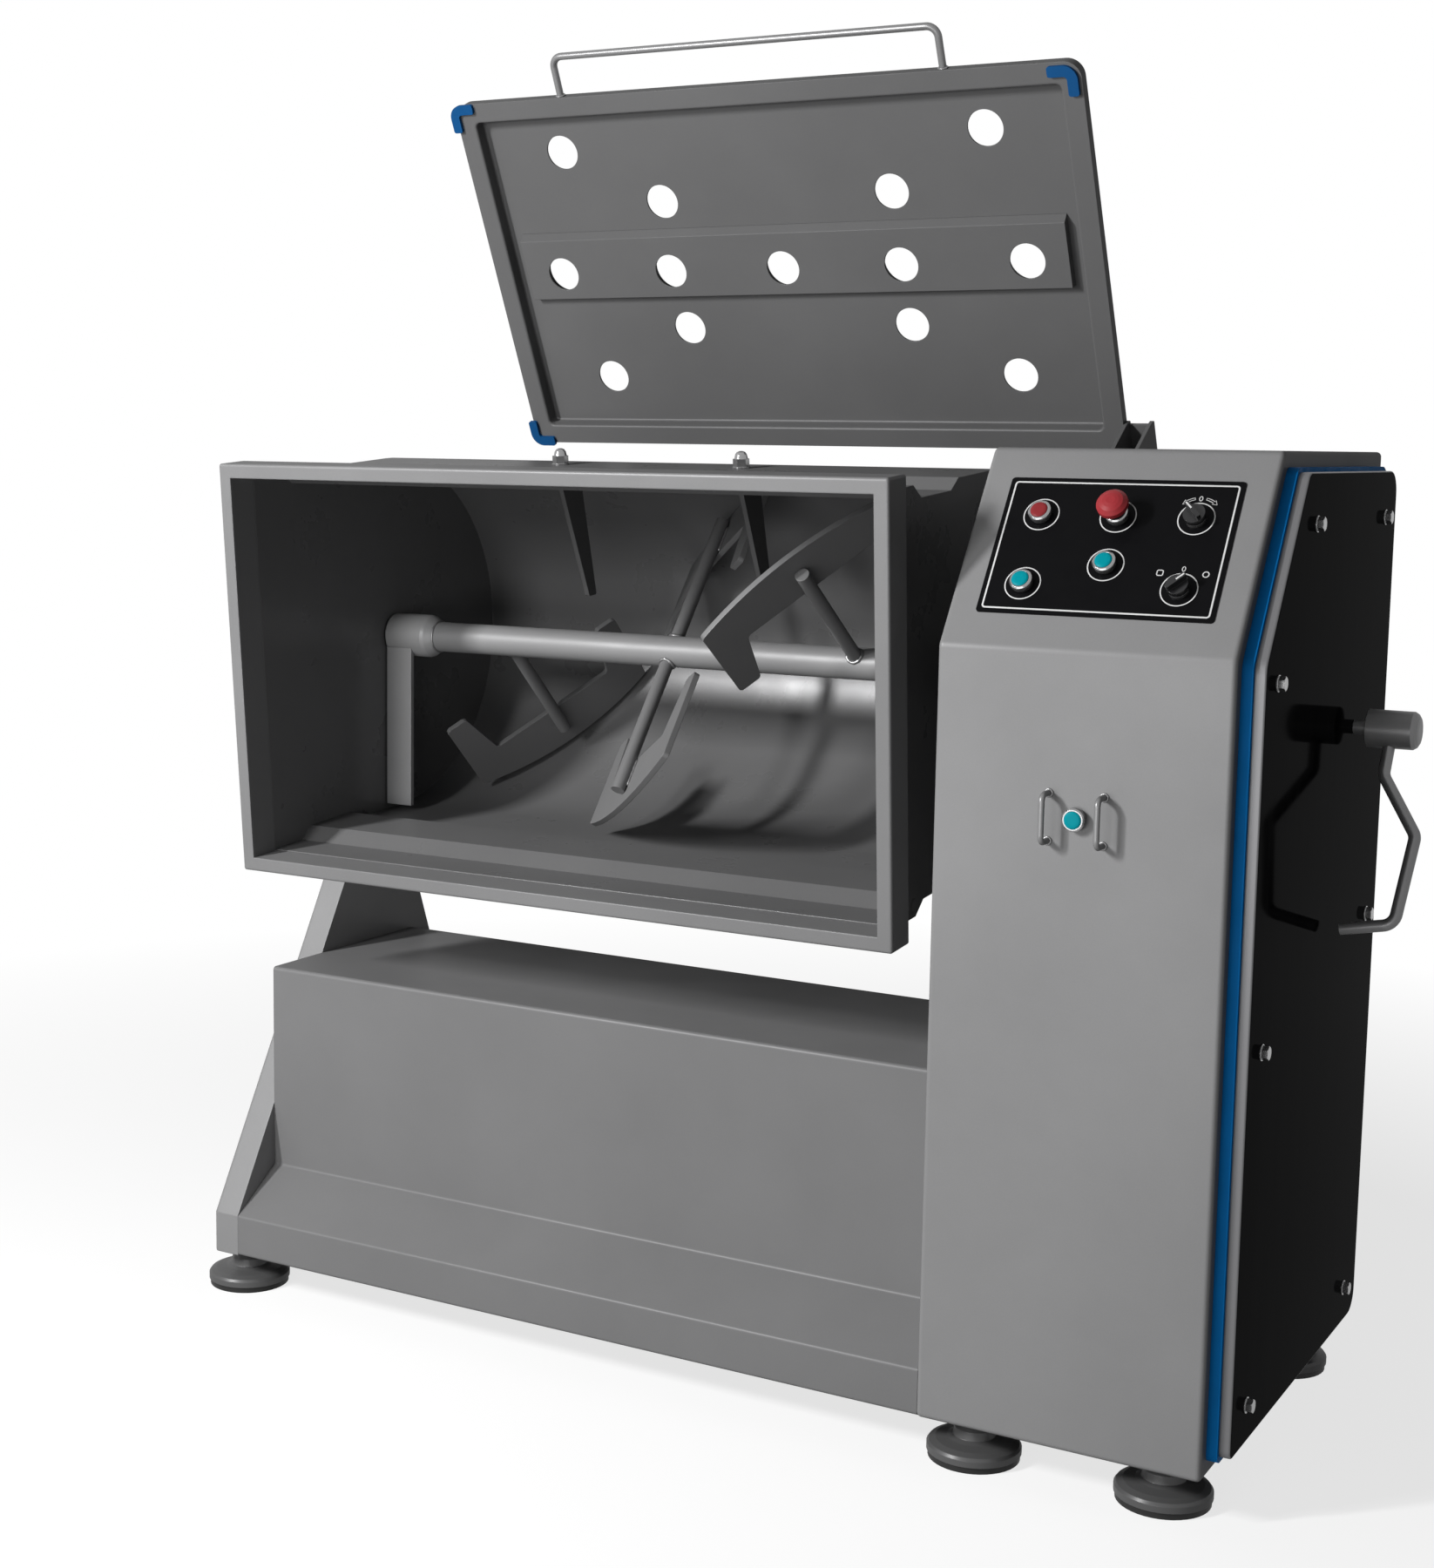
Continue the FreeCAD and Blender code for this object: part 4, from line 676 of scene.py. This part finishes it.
def make_world():
    """White where it is seen or mirrored, and a plain fill light for everything else."""
    world = bpy.data.worlds.new("studio")
    bpy.context.scene.world = world
    world.use_nodes = True
    tree = world.node_tree
    background = tree.nodes["Background"]
    background.inputs["Color"].default_value = (1, 1, 1, 1)
    rays = tree.nodes.new("ShaderNodeLightPath")
    total = rays.outputs["Is Camera Ray"]
    for other in ("Is Glossy Ray", "Is Transmission Ray"):
        total = arithmetic(tree, "MAXIMUM", total, rays.outputs[other])
    tree.links.new(ramp(tree, total, 0, 1, WORLD_FILL, 1), background.inputs["Strength"])


def lamp(name, place, target, size, power):
    """A rectangular lamp that faces a target."""
    data = bpy.data.lights.new(name, "AREA")
    data.shape = "RECTANGLE"
    data.size, data.size_y = size
    data.energy = power
    obj = bpy.data.objects.new(name, data)
    obj.location = place
    obj.rotation_mode = "QUATERNION"
    obj.rotation_quaternion = (Vector(target) - Vector(place)).to_track_quat("-Z", "Y")
    bpy.context.scene.collection.objects.link(obj)


CAMERA_PLACE = Vector((1.2241, -2.8677, 1.3924))
CAMERA_YAW = radians(30.1)
CAMERA_PITCH = radians(7.33)
CAMERA_ROLL = radians(0.78)
CAMERA_LENS = 53.95
CAMERA_SENSOR = 36
CAMERA_SHIFT = (0.0432, -0.0254)
CAMERA_CLIP = (0.05, 200)


def make_camera():
    """The photograph's viewpoint, given from the cabinet's lower left front corner on the floor."""
    ahead = Vector((-sin(CAMERA_YAW) * cos(CAMERA_PITCH), cos(CAMERA_YAW) * cos(CAMERA_PITCH),
                    -sin(CAMERA_PITCH)))
    level = Vector((cos(CAMERA_YAW), sin(CAMERA_YAW), 0))
    upright = level.cross(ahead)
    right = level * cos(CAMERA_ROLL) + upright * sin(CAMERA_ROLL)
    up = upright * cos(CAMERA_ROLL) - level * sin(CAMERA_ROLL)
    data = bpy.data.cameras.new("camera")
    data.lens = CAMERA_LENS
    data.sensor_width = CAMERA_SENSOR
    data.shift_x, data.shift_y = CAMERA_SHIFT
    data.clip_start, data.clip_end = CAMERA_CLIP
    camera = bpy.data.objects.new("camera", data)
    camera.rotation_mode = "QUATERNION"
    camera.rotation_quaternion = Matrix((right, up, -ahead)).transposed().to_quaternion()
    camera.location = cabinet_corner + CAMERA_PLACE
    bpy.context.scene.collection.objects.link(camera)
    bpy.context.scene.camera = camera


make_floor()
make_world()
lamp("key", (-2.0, -3.3, 2.68), (0, 0, 1.0), (0.28, 0.85), 150)
lamp("front", (0.1, -3.7, 0.7), (0.2, 0, 0.9), (2.6, 0.9), 31)
lamp("trough", (-1.0, -2.6, 1.75), (-0.5, 0, 1.0), (0.3, 0.4), 24)
make_camera()
bpy.context.scene.view_settings.view_transform = "Standard"
